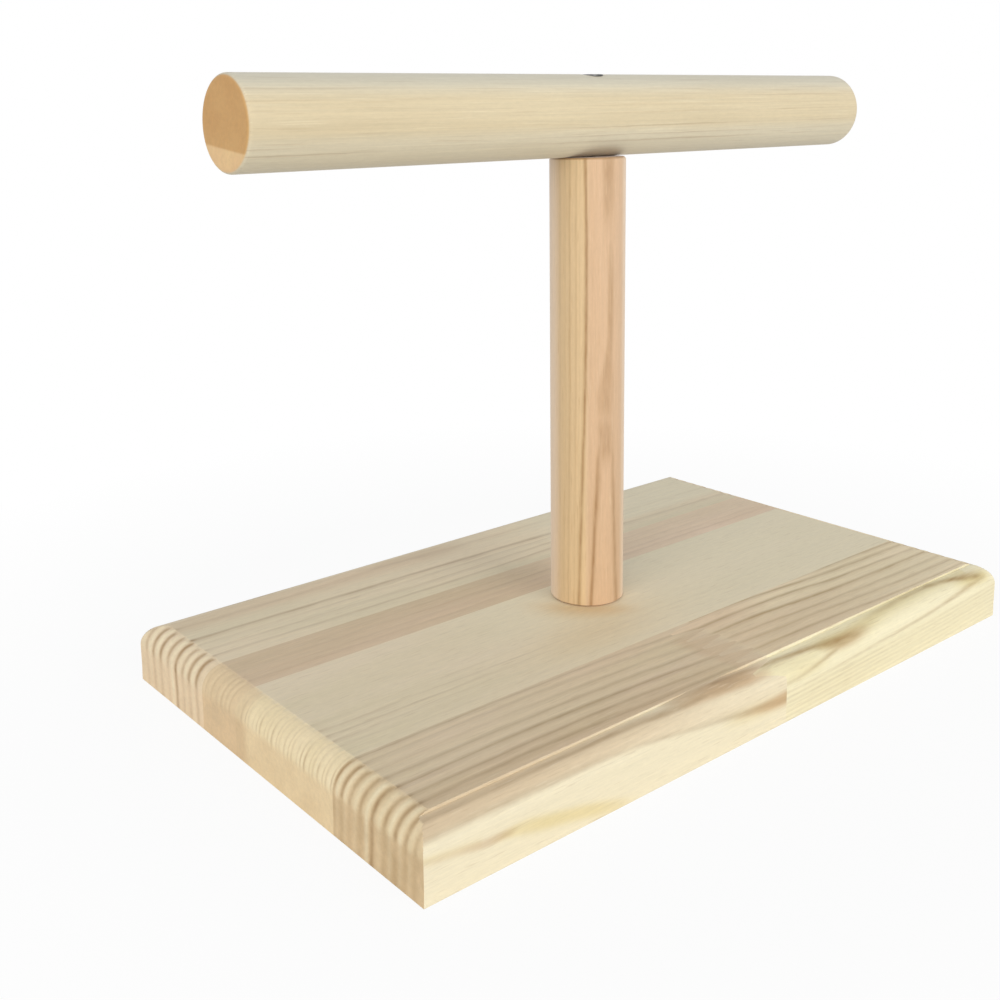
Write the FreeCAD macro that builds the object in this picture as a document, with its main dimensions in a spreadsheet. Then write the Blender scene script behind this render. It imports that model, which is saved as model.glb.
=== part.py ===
import FreeCAD, Part
import os
import Sketcher
from FreeCAD import Placement, Rotation, Vector

# A table perch for training a bird: a board glued up from pine staves, an upright dowel and a round crossbar.
# The origin is the middle of the board's underside. X runs along the crossbar, Y across the board, Z is up.
# All sizes are millimetres.

doc = FreeCAD.newDocument("TrainingPerch")
sizes = doc.addObject("Spreadsheet::Sheet", "Sizes")

# Driving dimensions
DRIVING = [
    ("overall_height", 150, "underside of the board to the crown of the crossbar"),
    ("base_length", 200, "board along the crossbar"),
    ("base_width", 120, "board across the crossbar"),
    ("base_thickness", 15, "board"),
    ("edge_radius", 5.5, "round-over along the board's four top edges"),
    ("rose_stave_width", 16, "narrow pinkish stave behind the upright"),
    ("pale_stave_width", 40, "pale stave that carries the upright"),
    ("pale_stave_back", 10, "upright's axis to the glue line behind the pale stave"),
    ("finger_front", 5.9, "how far right of the middle the joint meets the front face"),
    ("finger_depth", 9, "length of the joint's fingers"),
    ("finger_tip", 0.8, "flat on each finger's end"),
    ("finger_count", 6, "fingers across the front stave"),
    ("post_diameter", 19, "upright dowel"),
    ("post_ease", 0.5, "chamfer round both ends of the upright dowel"),
    ("perch_length", 200, "crossbar"),
    ("perch_diameter", 20, "crossbar"),
    ("perch_ease", 1, "rounding round both ends of the crossbar"),
    ("screw_length", 45, "both screws, head to point"),
    ("screw_diameter", 4, "shank"),
    ("screw_point", 6, "length of the tapered point"),
    ("head_diameter", 7.4, "countersunk head"),
    ("head_land", 0.4, "straight rim above the head's cone"),
    ("crown_sink", 0.1, "how far the upper screw's head lies under the crown of the crossbar"),
    ("foot_sink", 0.5, "how far the lower screw's head lies inside the board's underside"),
    ("recess_width", 1.2, "slot of the cross recess"),
    ("recess_span", 4.4, "cross recess from end to end"),
    ("recess_depth", 2, "cross recess"),
    ("screw_clearance", 0.05, "radial gap between a screw and its hole"),
    ("overrun", 2, "how far a cutting shape passes the surface that it cuts"),
]
for row, (alias, number, note) in enumerate(DRIVING, 1):
    sizes.set(f"A{row}", alias)
    sizes.set(f"B{row}", str(number))
    sizes.set(f"C{row}", note)
    sizes.setAlias(f"B{row}", alias)
doc.recompute()

# Places that several pieces share, as expressions of the driving dimensions
BOARD_END = "Sizes.base_length / 2"
BOARD_SIDE = "Sizes.base_width / 2"
BACK_GLUE_LINE = "Sizes.pale_stave_back + Sizes.rose_stave_width"
ROSE_GLUE_LINE = "Sizes.pale_stave_back"
FRONT_GLUE_LINE = "Sizes.pale_stave_back - Sizes.pale_stave_width"
POST_LENGTH = "Sizes.overall_height - Sizes.perch_diameter - Sizes.base_thickness"
PERCH_AXIS = "Sizes.overall_height - Sizes.perch_diameter / 2"
HEAD_CONE = "(Sizes.head_diameter - Sizes.screw_diameter) / 2"
SHANK_HOLE = "(Sizes.screw_diameter / 2 + Sizes.screw_clearance)"
HEAD_HOLE = "(Sizes.head_diameter / 2 + Sizes.screw_clearance)"
ZERO = "0"


def origin_plane(body, role):
    return next(plane for plane in body.Origin.OriginFeatures if plane.Role == role)


def new_body(label):
    body = doc.addObject("PartDesign::Body", label)
    body.Label = label
    return body


def new_sketch(body, name, role):
    sketch = body.newObject("Sketcher::SketchObject", name)
    sketch.AttachmentSupport = [(origin_plane(body, role), "")]
    sketch.MapMode = "FlatFace"
    return sketch


# Ties the start of one edge to the sketch's origin, or to an axis where its coordinate is zero
def pin_corner(sketch, edge, kind, expression, axis):
    if expression == ZERO:
        sketch.addConstraint(Sketcher.Constraint("PointOnObject", edge, 1, axis))
        return
    number = float(sketch.evalExpression(expression))
    index = sketch.addConstraint(Sketcher.Constraint(kind, -1, 1, edge, 1, number))
    sketch.setExpression(f"Constraints[{index}]", expression)


# A closed outline of straight edges, each corner given as two expressions
def draw_outline(sketch, corners):
    points = [Vector(*(float(sketch.evalExpression(place)) for place in corner), 0) for corner in corners]
    count = len(corners)
    for edge in range(count):
        sketch.addGeometry(Part.LineSegment(points[edge], points[(edge + 1) % count]))
    for edge in range(count):
        sketch.addConstraint(Sketcher.Constraint("Coincident", edge, 2, (edge + 1) % count, 1))
    for edge, (across, up) in enumerate(corners):
        pin_corner(sketch, edge, "DistanceX", across, -2)
        pin_corner(sketch, edge, "DistanceY", up, -1)


def draw_circle(sketch, diameter):
    number = float(sketch.evalExpression(diameter))
    sketch.addGeometry(Part.Circle(Vector(), Vector(0, 0, 1), number / 2))
    sketch.addConstraint(Sketcher.Constraint("Coincident", 0, 3, -1, 1))
    index = sketch.addConstraint(Sketcher.Constraint("Diameter", 0, number))
    sketch.setExpression(f"Constraints[{index}]", diameter)


def pad(body, sketch, length, side="One side"):
    feature = body.newObject("PartDesign::Pad", sketch.Name + "Pad")
    feature.Profile = sketch
    feature.SideType = side
    feature.setExpression("Length", length)
    sketch.Visibility = False
    doc.recompute()
    return feature


# A full turn of the sketch about its own vertical axis: a Revolution adds and a Groove cuts
def turn(body, kind, sketch):
    before = body.Shape.Volume if kind == "Groove" else 0
    feature = body.newObject("PartDesign::" + kind, sketch.Name + kind)
    feature.Profile = sketch
    feature.ReferenceAxis = (sketch, ["V_Axis"])
    feature.Angle = 360
    sketch.Visibility = False
    doc.recompute()
    if kind == "Groove" and not body.Shape.Volume < before:
        raise RuntimeError(sketch.Label + " cuts nothing")
    return feature


# A Fillet or Chamfer on those edges of the base feature that the test picks
def dress(body, kind, base, wanted, measure, expression):
    names = [f"Edge{n}" for n, edge in enumerate(base.Shape.Edges, 1) if wanted(edge)]
    feature = body.newObject("PartDesign::" + kind, body.Name + kind)
    feature.Base = (base, names)
    feature.setExpression(measure, expression)
    doc.recompute()
    return feature


# The board as it is rounded over and drilled, after its staves are glued up
def glued_board():
    body = new_body("glued_board")
    outline = new_sketch(body, "BoardOutline", "XY_Plane")
    draw_outline(outline, [
        ("-" + BOARD_END, "-" + BOARD_SIDE),
        (BOARD_END, "-" + BOARD_SIDE),
        (BOARD_END, BOARD_SIDE),
        ("-" + BOARD_END, BOARD_SIDE),
    ])
    slab = pad(body, outline, "Sizes.base_thickness")
    middle = slab.Shape.BoundBox.Center.z
    top_edge = lambda edge: min(corner.Z for corner in edge.Vertexes) > middle
    dress(body, "Fillet", slab, top_edge, "Radius", "Sizes.edge_radius")
    hole = new_sketch(body, "BoardScrewHole", "XZ_Plane")
    seat = "Sizes.foot_sink + Sizes.head_land"
    draw_outline(hole, [
        (ZERO, "-Sizes.overrun"),
        (HEAD_HOLE, "-Sizes.overrun"),
        (HEAD_HOLE, seat),
        (SHANK_HOLE, f"{seat} + {HEAD_CONE}"),
        (SHANK_HOLE, "Sizes.base_thickness + Sizes.overrun"),
        (ZERO, "Sizes.base_thickness + Sizes.overrun"),
    ])
    turn(body, "Groove", hole)
    return body


# One stave of the board: what the board has in common with the strip between two glue lines
def stave(label, board, strip):
    piece = doc.addObject("Part::Common", label)
    piece.Label = label
    piece.Base = board
    piece.Tool = strip
    return piece


def plain_strip(label, front, back):
    strip = doc.addObject("Part::Box", label)
    strip.Label = label
    strip.setExpression("Length", "Sizes.base_length + 2 * Sizes.overrun")
    strip.setExpression("Width", f"{back} - ({front})")
    strip.setExpression("Height", "Sizes.base_thickness + 2 * Sizes.overrun")
    strip.setExpression("Placement.Base.x", f"-{BOARD_END} - Sizes.overrun")
    strip.setExpression("Placement.Base.y", front)
    strip.setExpression("Placement.Base.z", "-Sizes.overrun")
    return strip


# The zigzag line of the finger joint, from the front face to the glue line behind the front stave
def finger_line():
    root = "Sizes.finger_front - Sizes.finger_depth"
    tip = "Sizes.finger_front"
    pitch = f"({FRONT_GLUE_LINE} + {BOARD_SIDE}) / round(Sizes.finger_count)"
    corners = [(tip, f"-{BOARD_SIDE} - Sizes.overrun")]
    for finger in range(round(sizes.finger_count)):
        start = f"{pitch} * {finger} - {BOARD_SIDE}"
        corners += [
            (tip, f"{start} + Sizes.finger_tip / 2"),
            (root, f"{start} + {pitch} / 2 - Sizes.finger_tip / 2"),
            (root, f"{start} + {pitch} / 2 + Sizes.finger_tip / 2"),
            (tip, f"{start} + {pitch} - Sizes.finger_tip / 2"),
        ]
    return corners + [(tip, FRONT_GLUE_LINE)]


# The strip of the front stave from the finger joint to one end of the board, as a plan view padded upwards
def fingered_strip(label, end):
    body = new_body(label)
    body.setExpression("Placement.Base.z", "-Sizes.overrun")
    plan = new_sketch(body, label + "_plan", "XY_Plane")
    draw_outline(plan, finger_line() + [(end, FRONT_GLUE_LINE), (end, f"-{BOARD_SIDE} - Sizes.overrun")])
    pad(body, plan, "Sizes.base_thickness + 2 * Sizes.overrun")
    return body


# A countersunk wood screw, its head's face at the local origin and its point straight down
def wood_screw(label):
    body = new_body(label)
    section = new_sketch(body, label + "_section", "XZ_Plane")
    draw_outline(section, [
        (ZERO, ZERO),
        ("Sizes.head_diameter / 2", ZERO),
        ("Sizes.head_diameter / 2", "-Sizes.head_land"),
        ("Sizes.screw_diameter / 2", f"-Sizes.head_land - {HEAD_CONE}"),
        ("Sizes.screw_diameter / 2", "Sizes.screw_point - Sizes.screw_length"),
        (ZERO, "-Sizes.screw_length"),
    ])
    turn(body, "Revolution", section)
    solid = body.Shape.Volume
    cross = new_sketch(body, label + "_recess", "XY_Plane")
    arm, slot = "Sizes.recess_span / 2", "Sizes.recess_width / 2"
    left, near = "-" + arm, "-" + slot
    draw_outline(cross, [
        (arm, near), (arm, slot), (slot, slot), (slot, arm), (near, arm), (near, slot),
        (left, slot), (left, near), (near, near), (near, left), (slot, left), (slot, near),
    ])
    recess = body.newObject("PartDesign::Pocket", label + "_cross")
    recess.Profile = cross
    recess.setExpression("Length", "Sizes.recess_depth")
    cross.Visibility = False
    doc.recompute()
    if not body.Shape.Volume < solid:
        raise RuntimeError(label + " has no recess")
    return body


# The upright dowel, its foot's middle at the local origin, with a blind hole for a screw in each end
def post():
    body = new_body("post")
    body.setExpression("Placement.Base.z", "Sizes.base_thickness")
    circle = new_sketch(body, "PostCircle", "XY_Plane")
    draw_circle(circle, "Sizes.post_diameter")
    dowel = pad(body, circle, POST_LENGTH)
    dress(body, "Chamfer", dowel, lambda edge: edge.isClosed(), "Size", "Sizes.post_ease")
    foot_point = "Sizes.foot_sink + Sizes.screw_length - Sizes.base_thickness"
    foot_hole = new_sketch(body, "PostFootHole", "XZ_Plane")
    draw_outline(foot_hole, [
        (ZERO, "-Sizes.overrun"),
        (SHANK_HOLE, "-Sizes.overrun"),
        (SHANK_HOLE, f"{foot_point} - Sizes.screw_point"),
        (ZERO, f"{foot_point} + Sizes.screw_clearance"),
    ])
    turn(body, "Groove", foot_hole)
    head_point = "Sizes.overall_height - Sizes.crown_sink - Sizes.screw_length - Sizes.base_thickness"
    head_hole = new_sketch(body, "PostHeadHole", "XZ_Plane")
    draw_outline(head_hole, [
        (ZERO, f"{head_point} - Sizes.screw_clearance"),
        (SHANK_HOLE, f"{head_point} + Sizes.screw_point"),
        (SHANK_HOLE, f"{POST_LENGTH} + Sizes.overrun"),
        (ZERO, f"{POST_LENGTH} + Sizes.overrun"),
    ])
    turn(body, "Groove", head_hole)
    return body


# The crossbar, its middle at the local origin, drilled and countersunk from the crown
def perch():
    body = new_body("perch")
    body.setExpression("Placement.Base.z", PERCH_AXIS)
    circle = new_sketch(body, "PerchCircle", "YZ_Plane")
    draw_circle(circle, "Sizes.perch_diameter")
    dowel = pad(body, circle, "Sizes.perch_length", "Symmetric")
    dress(body, "Fillet", dowel, lambda edge: edge.isClosed(), "Radius", "Sizes.perch_ease")
    hole = new_sketch(body, "PerchScrewHole", "XZ_Plane")
    crown = "Sizes.perch_diameter / 2"
    seat = f"{crown} - Sizes.crown_sink - Sizes.head_land"
    draw_outline(hole, [
        (ZERO, f"-{crown} - Sizes.overrun"),
        (SHANK_HOLE, f"-{crown} - Sizes.overrun"),
        (SHANK_HOLE, f"{seat} - {HEAD_CONE}"),
        (HEAD_HOLE, seat),
        (HEAD_HOLE, f"{crown} + Sizes.overrun"),
        (ZERO, f"{crown} + Sizes.overrun"),
    ])
    turn(body, "Groove", hole)
    return body


board = glued_board()
staves = [
    stave("base_stave_back", board,
          plain_strip("back_strip", BACK_GLUE_LINE, f"{BOARD_SIDE} + Sizes.overrun")),
    stave("base_stave_middle_back", board, plain_strip("rose_strip", ROSE_GLUE_LINE, BACK_GLUE_LINE)),
    stave("base_stave_middle_front", board, plain_strip("pale_strip", FRONT_GLUE_LINE, ROSE_GLUE_LINE)),
    stave("base_stave_front_left", board, fingered_strip("front_left_strip", f"-{BOARD_END} - Sizes.overrun")),
    stave("base_stave_front_right", board, fingered_strip("front_right_strip", f"{BOARD_END} + Sizes.overrun")),
]
upright = post()
crossbar = perch()
perch_screw = wood_screw("perch_screw")
perch_screw.setExpression("Placement.Base.z", "Sizes.overall_height - Sizes.crown_sink")
base_screw = wood_screw("base_screw")
base_screw.Placement = Placement(Vector(), Rotation(Vector(1, 0, 0), 180))
base_screw.setExpression("Placement.Base.z", "Sizes.foot_sink")
doc.recompute()

pieces = staves + [upright, crossbar, perch_screw, base_screw]
for item in doc.Objects:
    if "Invalid" in item.State or "Error" in item.State:
        raise RuntimeError(f"{item.Label} failed: {item.State}")
for piece in pieces:
    if piece.Shape.isNull() or not piece.Shape.isValid() or len(piece.Shape.Solids) != 1:
        raise RuntimeError(f"{piece.Label} isn't one valid solid")
glued = sum(piece.Shape.Volume for piece in staves)
print(f"the staves hold {glued:.1f} mm3 of the board's {board.Shape.Volume:.1f} mm3")

os.makedirs("parts", exist_ok=True)
for piece in pieces:
    box = piece.Shape.BoundBox
    print(f"{piece.Label}: {piece.Shape.Volume:.1f} mm3, x {box.XMin:.2f} to {box.XMax:.2f},"
          f" y {box.YMin:.2f} to {box.YMax:.2f}, z {box.ZMin:.2f} to {box.ZMax:.2f}")
    piece.Shape.exportStep(f"parts/{piece.Label}.step")
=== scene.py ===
import math
import bmesh
import bpy
import numpy as np
from mathutils import Matrix, Vector


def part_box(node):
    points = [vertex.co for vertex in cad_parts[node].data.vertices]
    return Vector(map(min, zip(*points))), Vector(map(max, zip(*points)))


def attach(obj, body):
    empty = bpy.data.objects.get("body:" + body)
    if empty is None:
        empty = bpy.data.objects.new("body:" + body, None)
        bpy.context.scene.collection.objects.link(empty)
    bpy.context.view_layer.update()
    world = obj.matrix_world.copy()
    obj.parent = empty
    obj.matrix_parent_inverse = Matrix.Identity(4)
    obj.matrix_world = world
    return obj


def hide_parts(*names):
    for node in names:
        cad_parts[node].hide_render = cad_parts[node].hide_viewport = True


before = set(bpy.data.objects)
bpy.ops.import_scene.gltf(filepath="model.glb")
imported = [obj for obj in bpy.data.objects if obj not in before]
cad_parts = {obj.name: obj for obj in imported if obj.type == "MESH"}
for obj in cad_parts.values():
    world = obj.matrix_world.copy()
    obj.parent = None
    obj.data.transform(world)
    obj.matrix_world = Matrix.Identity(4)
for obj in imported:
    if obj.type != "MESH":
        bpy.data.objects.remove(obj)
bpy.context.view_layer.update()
scene = bpy.context.scene
mm = 0.001
print("frame loaded:", len(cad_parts), "nodes")


# Lowest and highest corner of a CAD node, in millimetres
def nodeBox(node):
    low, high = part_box(node)
    return np.array(low) / mm, np.array(high) / mm


# Numbers from start to end, about one every step
def evenly(start, end, step):
    return np.linspace(start, end, max(2, round(abs(end - start) / step) + 1))


# 0 below low, 1 above high, and 3t^2 - 2t^3 between them
def ease(value, low, high):
    t = np.clip((value - low) / (high - low), 0, 1)
    return t * t * (3 - 2 * t)


# A curve through knots (along, height): between two knots the cubic whose slope at each knot is the mean of
# the slopes on its two sides
def smoothLine(along, knots):
    places, heights = (np.array(column, float) for column in zip(*knots))
    slopes = np.gradient(heights, places)
    left = np.clip(np.searchsorted(places, along) - 1, 0, len(places) - 2)
    gap = places[left + 1] - places[left]
    t = np.clip((along - places[left]) / gap, 0, 1)
    rise = heights[left] * (2 * t**3 - 3 * t**2 + 1) + heights[left + 1] * (3 * t**2 - 2 * t**3)
    return rise + gap * (slopes[left] * (t**3 - 2 * t**2 + t) + slopes[left + 1] * (t**3 - t**2))


weldCell = 0.001  # mm
creaseAngle = 35  # degrees, over which an edge between two faces stays sharp


# The points of all patches, with those in the same weld cell made one, and the corners of the patches' faces.
# A face with two corners at one point becomes a triangle, and a flatter one goes.
def weldPatches(patches):
    corners, first = [], 0
    for patch in patches:
        rows, columns = patch.shape[:2]
        number = first + np.arange(rows * columns).reshape(rows, columns)
        cells = [number[:-1, :-1], number[1:, :-1], number[1:, 1:], number[:-1, 1:]]
        corners.append(np.stack(cells, axis=-1).reshape(-1, 4))
        first += rows * columns
    points = np.concatenate([patch.reshape(-1, 3) for patch in patches])
    cell = np.floor(points / weldCell + 0.37).astype(np.int64)  # shifted, so that round sizes don't split
    _, kept, merged = np.unique(cell, axis=0, return_index=True, return_inverse=True)
    corners = merged.reshape(-1)[np.concatenate(corners)]
    differs = corners != np.roll(corners, -1, axis=1)
    sides = differs.sum(axis=1)
    whole = sides >= 3
    return points[kept], corners[whole][differs[whole]], sides[whole]


# A closed mesh of welded patches, faces outwards, smooth up to the crease angle. traits gives each point's
# values from its coordinates, and dents moves the points a little before they are stored.
def makePiece(name, patches, node, material, traits=None, dents=None):
    points, loops, sides = weldPatches(patches)
    values = traits(points) if traits else {}
    if dents:
        points = points + dents(points, values)
    mesh = bpy.data.meshes.new(name)
    faces = [face.tolist() for face in np.split(loops, np.cumsum(sides)[:-1])]
    mesh.from_pydata((points * mm).tolist(), [], faces)
    for trait, numbers in values.items():
        layer = mesh.attributes.new(trait, "FLOAT", "POINT")
        layer.data.foreach_set("value", np.ascontiguousarray(numbers, dtype=np.float32))
    shell = bmesh.new()
    shell.from_mesh(mesh)
    bmesh.ops.recalc_face_normals(shell, faces=shell.faces)
    openEdges = sum(not edge.is_manifold for edge in shell.edges)
    shell.to_mesh(mesh)
    shell.free()
    mesh.shade_smooth()
    mesh.set_sharp_from_angle(angle=math.radians(creaseAngle))
    mesh.materials.append(material)
    piece = bpy.data.objects.new(name, mesh)
    scene.collection.objects.link(piece)
    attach(piece, "root")
    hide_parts(node)
    print(name, len(points), "points,", len(mesh.polygons), "faces,", openEdges, "open edges")


# A colour as a screen shows it, 0 to 255 each, as Blender's linear colour
def tone(red, green, blue):
    screen = np.array([red, green, blue]) / 255
    linear = np.where(screen <= 0.04045, screen / 12.92, ((screen + 0.055) / 1.055) ** 2.4)
    return (*linear.tolist(), 1.0)


# A node with its settings, whose inputs are linked where they are given a socket and set where not
def addNode(tree, kind, inputs=None, **settings):
    node = tree.nodes.new(kind)
    for setting, value in settings.items():
        setattr(node, setting, value)
    for name, value in (inputs or {}).items():
        if isinstance(value, bpy.types.NodeSocket):
            tree.links.new(value, node.inputs[name])
        else:
            node.inputs[name].default_value = value
    return node


def calculate(tree, operation, first, second=0.0, clamp=False):
    node = addNode(tree, "ShaderNodeMath", {0: first, 1: second}, operation=operation, use_clamp=clamp)
    return node.outputs[0]


def mixColours(tree, share, first, second, blend="MIX"):
    inputs = {0: share, 6: first, 7: second}
    return addNode(tree, "ShaderNodeMix", inputs, data_type="RGBA", blend_type=blend).outputs[2]


def remap(tree, value, low, high, newLow, newHigh):
    inputs = {"Value": value, "From Min": low, "From Max": high, "To Min": newLow, "To Max": newHigh}
    return addNode(tree, "ShaderNodeMapRange", inputs).outputs[0]


# Noise in object coordinates that are counted in cells per metre along each axis
def grainNoise(tree, place, cells, detail, roughness):
    stretched = addNode(tree, "ShaderNodeMapping", {"Vector": place, "Scale": cells}).outputs[0]
    inputs = {"Vector": stretched, "Scale": 1.0, "Detail": detail, "Roughness": roughness}
    return addNode(tree, "ShaderNodeTexNoise", inputs).outputs[0]


def readTrait(tree, trait):
    return addNode(tree, "ShaderNodeAttribute", attribute_name=trait).outputs["Fac"]


# Cells per metre as seen along the fibres and across them, turned to the piece's fibre direction
def alongFibres(look, along, across):
    return tuple(along if axis == look["fibres"] else across for axis in "xyz")


# Noises of the wood: cells per metre along the fibres and across them, detail and roughness
pineNoises = {
    "wobble": (28, 160, 3.0, 0.6),
    "middleWobble": (75, 330, 2.0, 0.5),
    "fineWobble": (160, 900, 2.0, 0.5),
    "fade": (14, 90, 2.0, 0.5),
    "slow": (11, 60, 3.0, 0.55),
    "speckle": (420, 1700, 3.0, 0.75),
    "blotch": (60, 130, 2.0, 0.5),
}


# A ramp over the ring distance that rises to each line's strength at its centre and falls faster behind it
def lineRamp(tree, ring, look):
    low, high = look["ringSpan"]
    ramp = addNode(tree, "ShaderNodeValToRGB", {"Fac": remap(tree, ring, low, high, 0.0, 1.0)})
    stops = [(low, 0.0)]
    for centre, strength, before, behind in look["lines"]:
        stops += [(centre - before, 0.0), (centre - before * 0.3, strength * 0.4)]
        stops += [(centre, strength), (centre + behind, 0.0)]
    elements = ramp.color_ramp.elements
    elements.remove(elements[1])
    for number, (centre, strength) in enumerate(sorted(stops)):
        spot = min(max((centre - low) / (high - low), 0.0), 1.0)
        element = elements[0] if number == 0 else elements.new(spot)
        element.position = spot
        element.color = (strength, strength, strength, 1.0)
    return ramp.outputs[0]


# Sanded pine. The ring trait, in millimetres across the growth rings, runs through a ramp of late-wood
# lines. figure adds the flames. The blush tint colours the heartwood and also carries painted light: the
# upright's glow on the board, and painted shade across the upright and round the crossbar's middle. The gold
# tint colours the resin and the shaded part of a sawn end, and also paints shade on the upright and along
# the crossbar's crown. comb gives the ridges (over 0) and grooves (under 0) of the sawn ends, whose pale
# ridge tone is partly a painted highlight, and noise stretched along the fibres gives fibres, flecks and
# slow changes of tone. Noise lies mostly between 0.3 and 0.7, which remap spreads.
def pineMaterial(name, look):
    material = bpy.data.materials.new(name)
    material.use_nodes = True
    tree = material.node_tree
    shader = tree.nodes["Principled BSDF"]
    place = addNode(tree, "ShaderNodeTexCoord").outputs["Object"]
    ringShow, endGrain = readTrait(tree, "ringShow"), readTrait(tree, "endGrain")

    def noise(kind):
        along, across, detail, roughness = pineNoises[kind]
        return grainNoise(tree, place, alongFibres(look, along, across), detail, roughness)
    wobble, middleWobble, fineWobble = noise("wobble"), noise("middleWobble"), noise("fineWobble")
    ring = readTrait(tree, "ring")
    for part, share in ((wobble, 1.0), (middleWobble, 0.7), (fineWobble, 0.6)):
        shift = calculate(tree, "MULTIPLY", calculate(tree, "SUBTRACT", part, 0.5), look["wobble"] * share)
        ring = calculate(tree, "ADD", ring, shift)
    fade = remap(tree, noise("fade"), 0.35, 0.6, look["lineFade"], 1.0)
    broken = remap(tree, middleWobble, 0.3, 0.6, 0.7, 1.1)
    shown = calculate(tree, "MULTIPLY", ringShow, fade)
    rings = calculate(tree, "MULTIPLY", lineRamp(tree, ring, look), shown)
    rings = calculate(tree, "MULTIPLY", rings, broken)
    frayed = remap(tree, fineWobble, 0.3, 0.7, 0.7, 1.2)
    figure = calculate(tree, "MULTIPLY", readTrait(tree, "figure"), frayed)
    lines = calculate(tree, "MAXIMUM", rings, figure, True)

    slow = remap(tree, noise("slow"), 0.35, 0.65, 0.0, 1.0)
    fibres = grainNoise(tree, place, alongFibres(look, look["fibreLength"], 1900), 3.0, 0.65)
    flecks = grainNoise(tree, place, alongFibres(look, look["fleckLength"], 2400), 1.0, 0.5)
    speckle = noise("speckle")
    start, strength, blur = look["fleckStart"], look["fleckStrength"], 0.12
    darkFleck = remap(tree, flecks, start, start + blur, 0.0, strength)
    paleFleck = remap(tree, flecks, 1 - start, 1 - start - blur, 0.0, strength * 0.8)
    early = mixColours(tree, slow, tone(*look["earlyTone"]), tone(*look["otherTone"]))
    early = mixColours(tree, calculate(tree, "MINIMUM", ringShow, 1.0), tone(*look["faceTone"]), early)
    grained = mixColours(tree, readTrait(tree, "blushAndPaintedLight"), early, tone(*look["blushAndPaintedLightTone"]), "MULTIPLY")
    grained = mixColours(tree, lines, grained, tone(*look["lineTone"]))
    grained = mixColours(tree, darkFleck, grained, tone(*look["fleckTone"]))
    grained = mixColours(tree, paleFleck, grained, tone(*look["paleFleckTone"]))
    streak = remap(tree, fibres, 0.3, 0.7, 1 - look["streaks"], 1 + look["streaks"])
    grained = mixColours(tree, 1.0, grained, streak, "MULTIPLY")
    grained = mixColours(tree, 1.0, grained, remap(tree, speckle, 0.3, 0.7, 0.965, 1.035), "MULTIPLY")

    blotch = remap(tree, noise("blotch"), 0.35, 0.65, 0.0, 1.0)
    endSpeckle = grainNoise(tree, place, (900, 900, 900), 3.0, 0.7)
    sawn = mixColours(tree, blotch, tone(*look["endTone"]), tone(*look["endOtherTone"]))
    flat = mixColours(tree, blotch, tone(*look["endFlatTone"]), tone(*look["endFlatOtherTone"]))
    sawn = mixColours(tree, readTrait(tree, "raised"), flat, sawn)
    uneven = remap(tree, middleWobble, 0.3, 0.65, 0.6, 1.15)
    comb = calculate(tree, "MULTIPLY", readTrait(tree, "comb"), uneven)
    # ridges of a sawn end take a pale tone: the paler early wood, lifted further as a painted highlight where
    # ridges catch light
    sawn = mixColours(tree, calculate(tree, "MAXIMUM", comb, 0.0, True), sawn, tone(*look["endRidgeAndHighlightTone"]))
    sawn = mixColours(tree, calculate(tree, "MULTIPLY", comb, -1.0, True), sawn, tone(*look["endLineTone"]))
    sawn = mixColours(tree, 1.0, sawn, remap(tree, endSpeckle, 0.3, 0.7, 0.94, 1.05), "MULTIPLY")
    colour = mixColours(tree, endGrain, grained, sawn)
    colour = mixColours(tree, readTrait(tree, "goldAndPaintedShade"), colour, tone(*look["goldAndPaintedShadeTone"]), "MULTIPLY")

    lineHeight = calculate(tree, "MULTIPLY", lines, remap(tree, endGrain, 0.0, 1.0, 0.3, 0.0))
    height = calculate(tree, "ADD", calculate(tree, "MULTIPLY", fibres, 0.45), lineHeight)
    height = calculate(tree, "ADD", height, calculate(tree, "MULTIPLY", flecks, 0.3))
    relief = {"Height": height, "Strength": 1.0, "Distance": look["bumpDepth"] * mm}
    bump = addNode(tree, "ShaderNodeBump", relief)
    tree.links.new(colour, shader.inputs["Base Color"])
    tree.links.new(bump.outputs[0], shader.inputs["Normal"])
    gloss = remap(tree, fibres, 0.3, 0.7, look["roughness"] - 0.06, look["roughness"] + 0.08)
    tree.links.new(gloss, shader.inputs["Roughness"])
    shader.inputs["Specular IOR Level"].default_value = 0.5
    shader.inputs["Sheen Weight"].default_value = look["sheen"]
    return material


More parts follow.
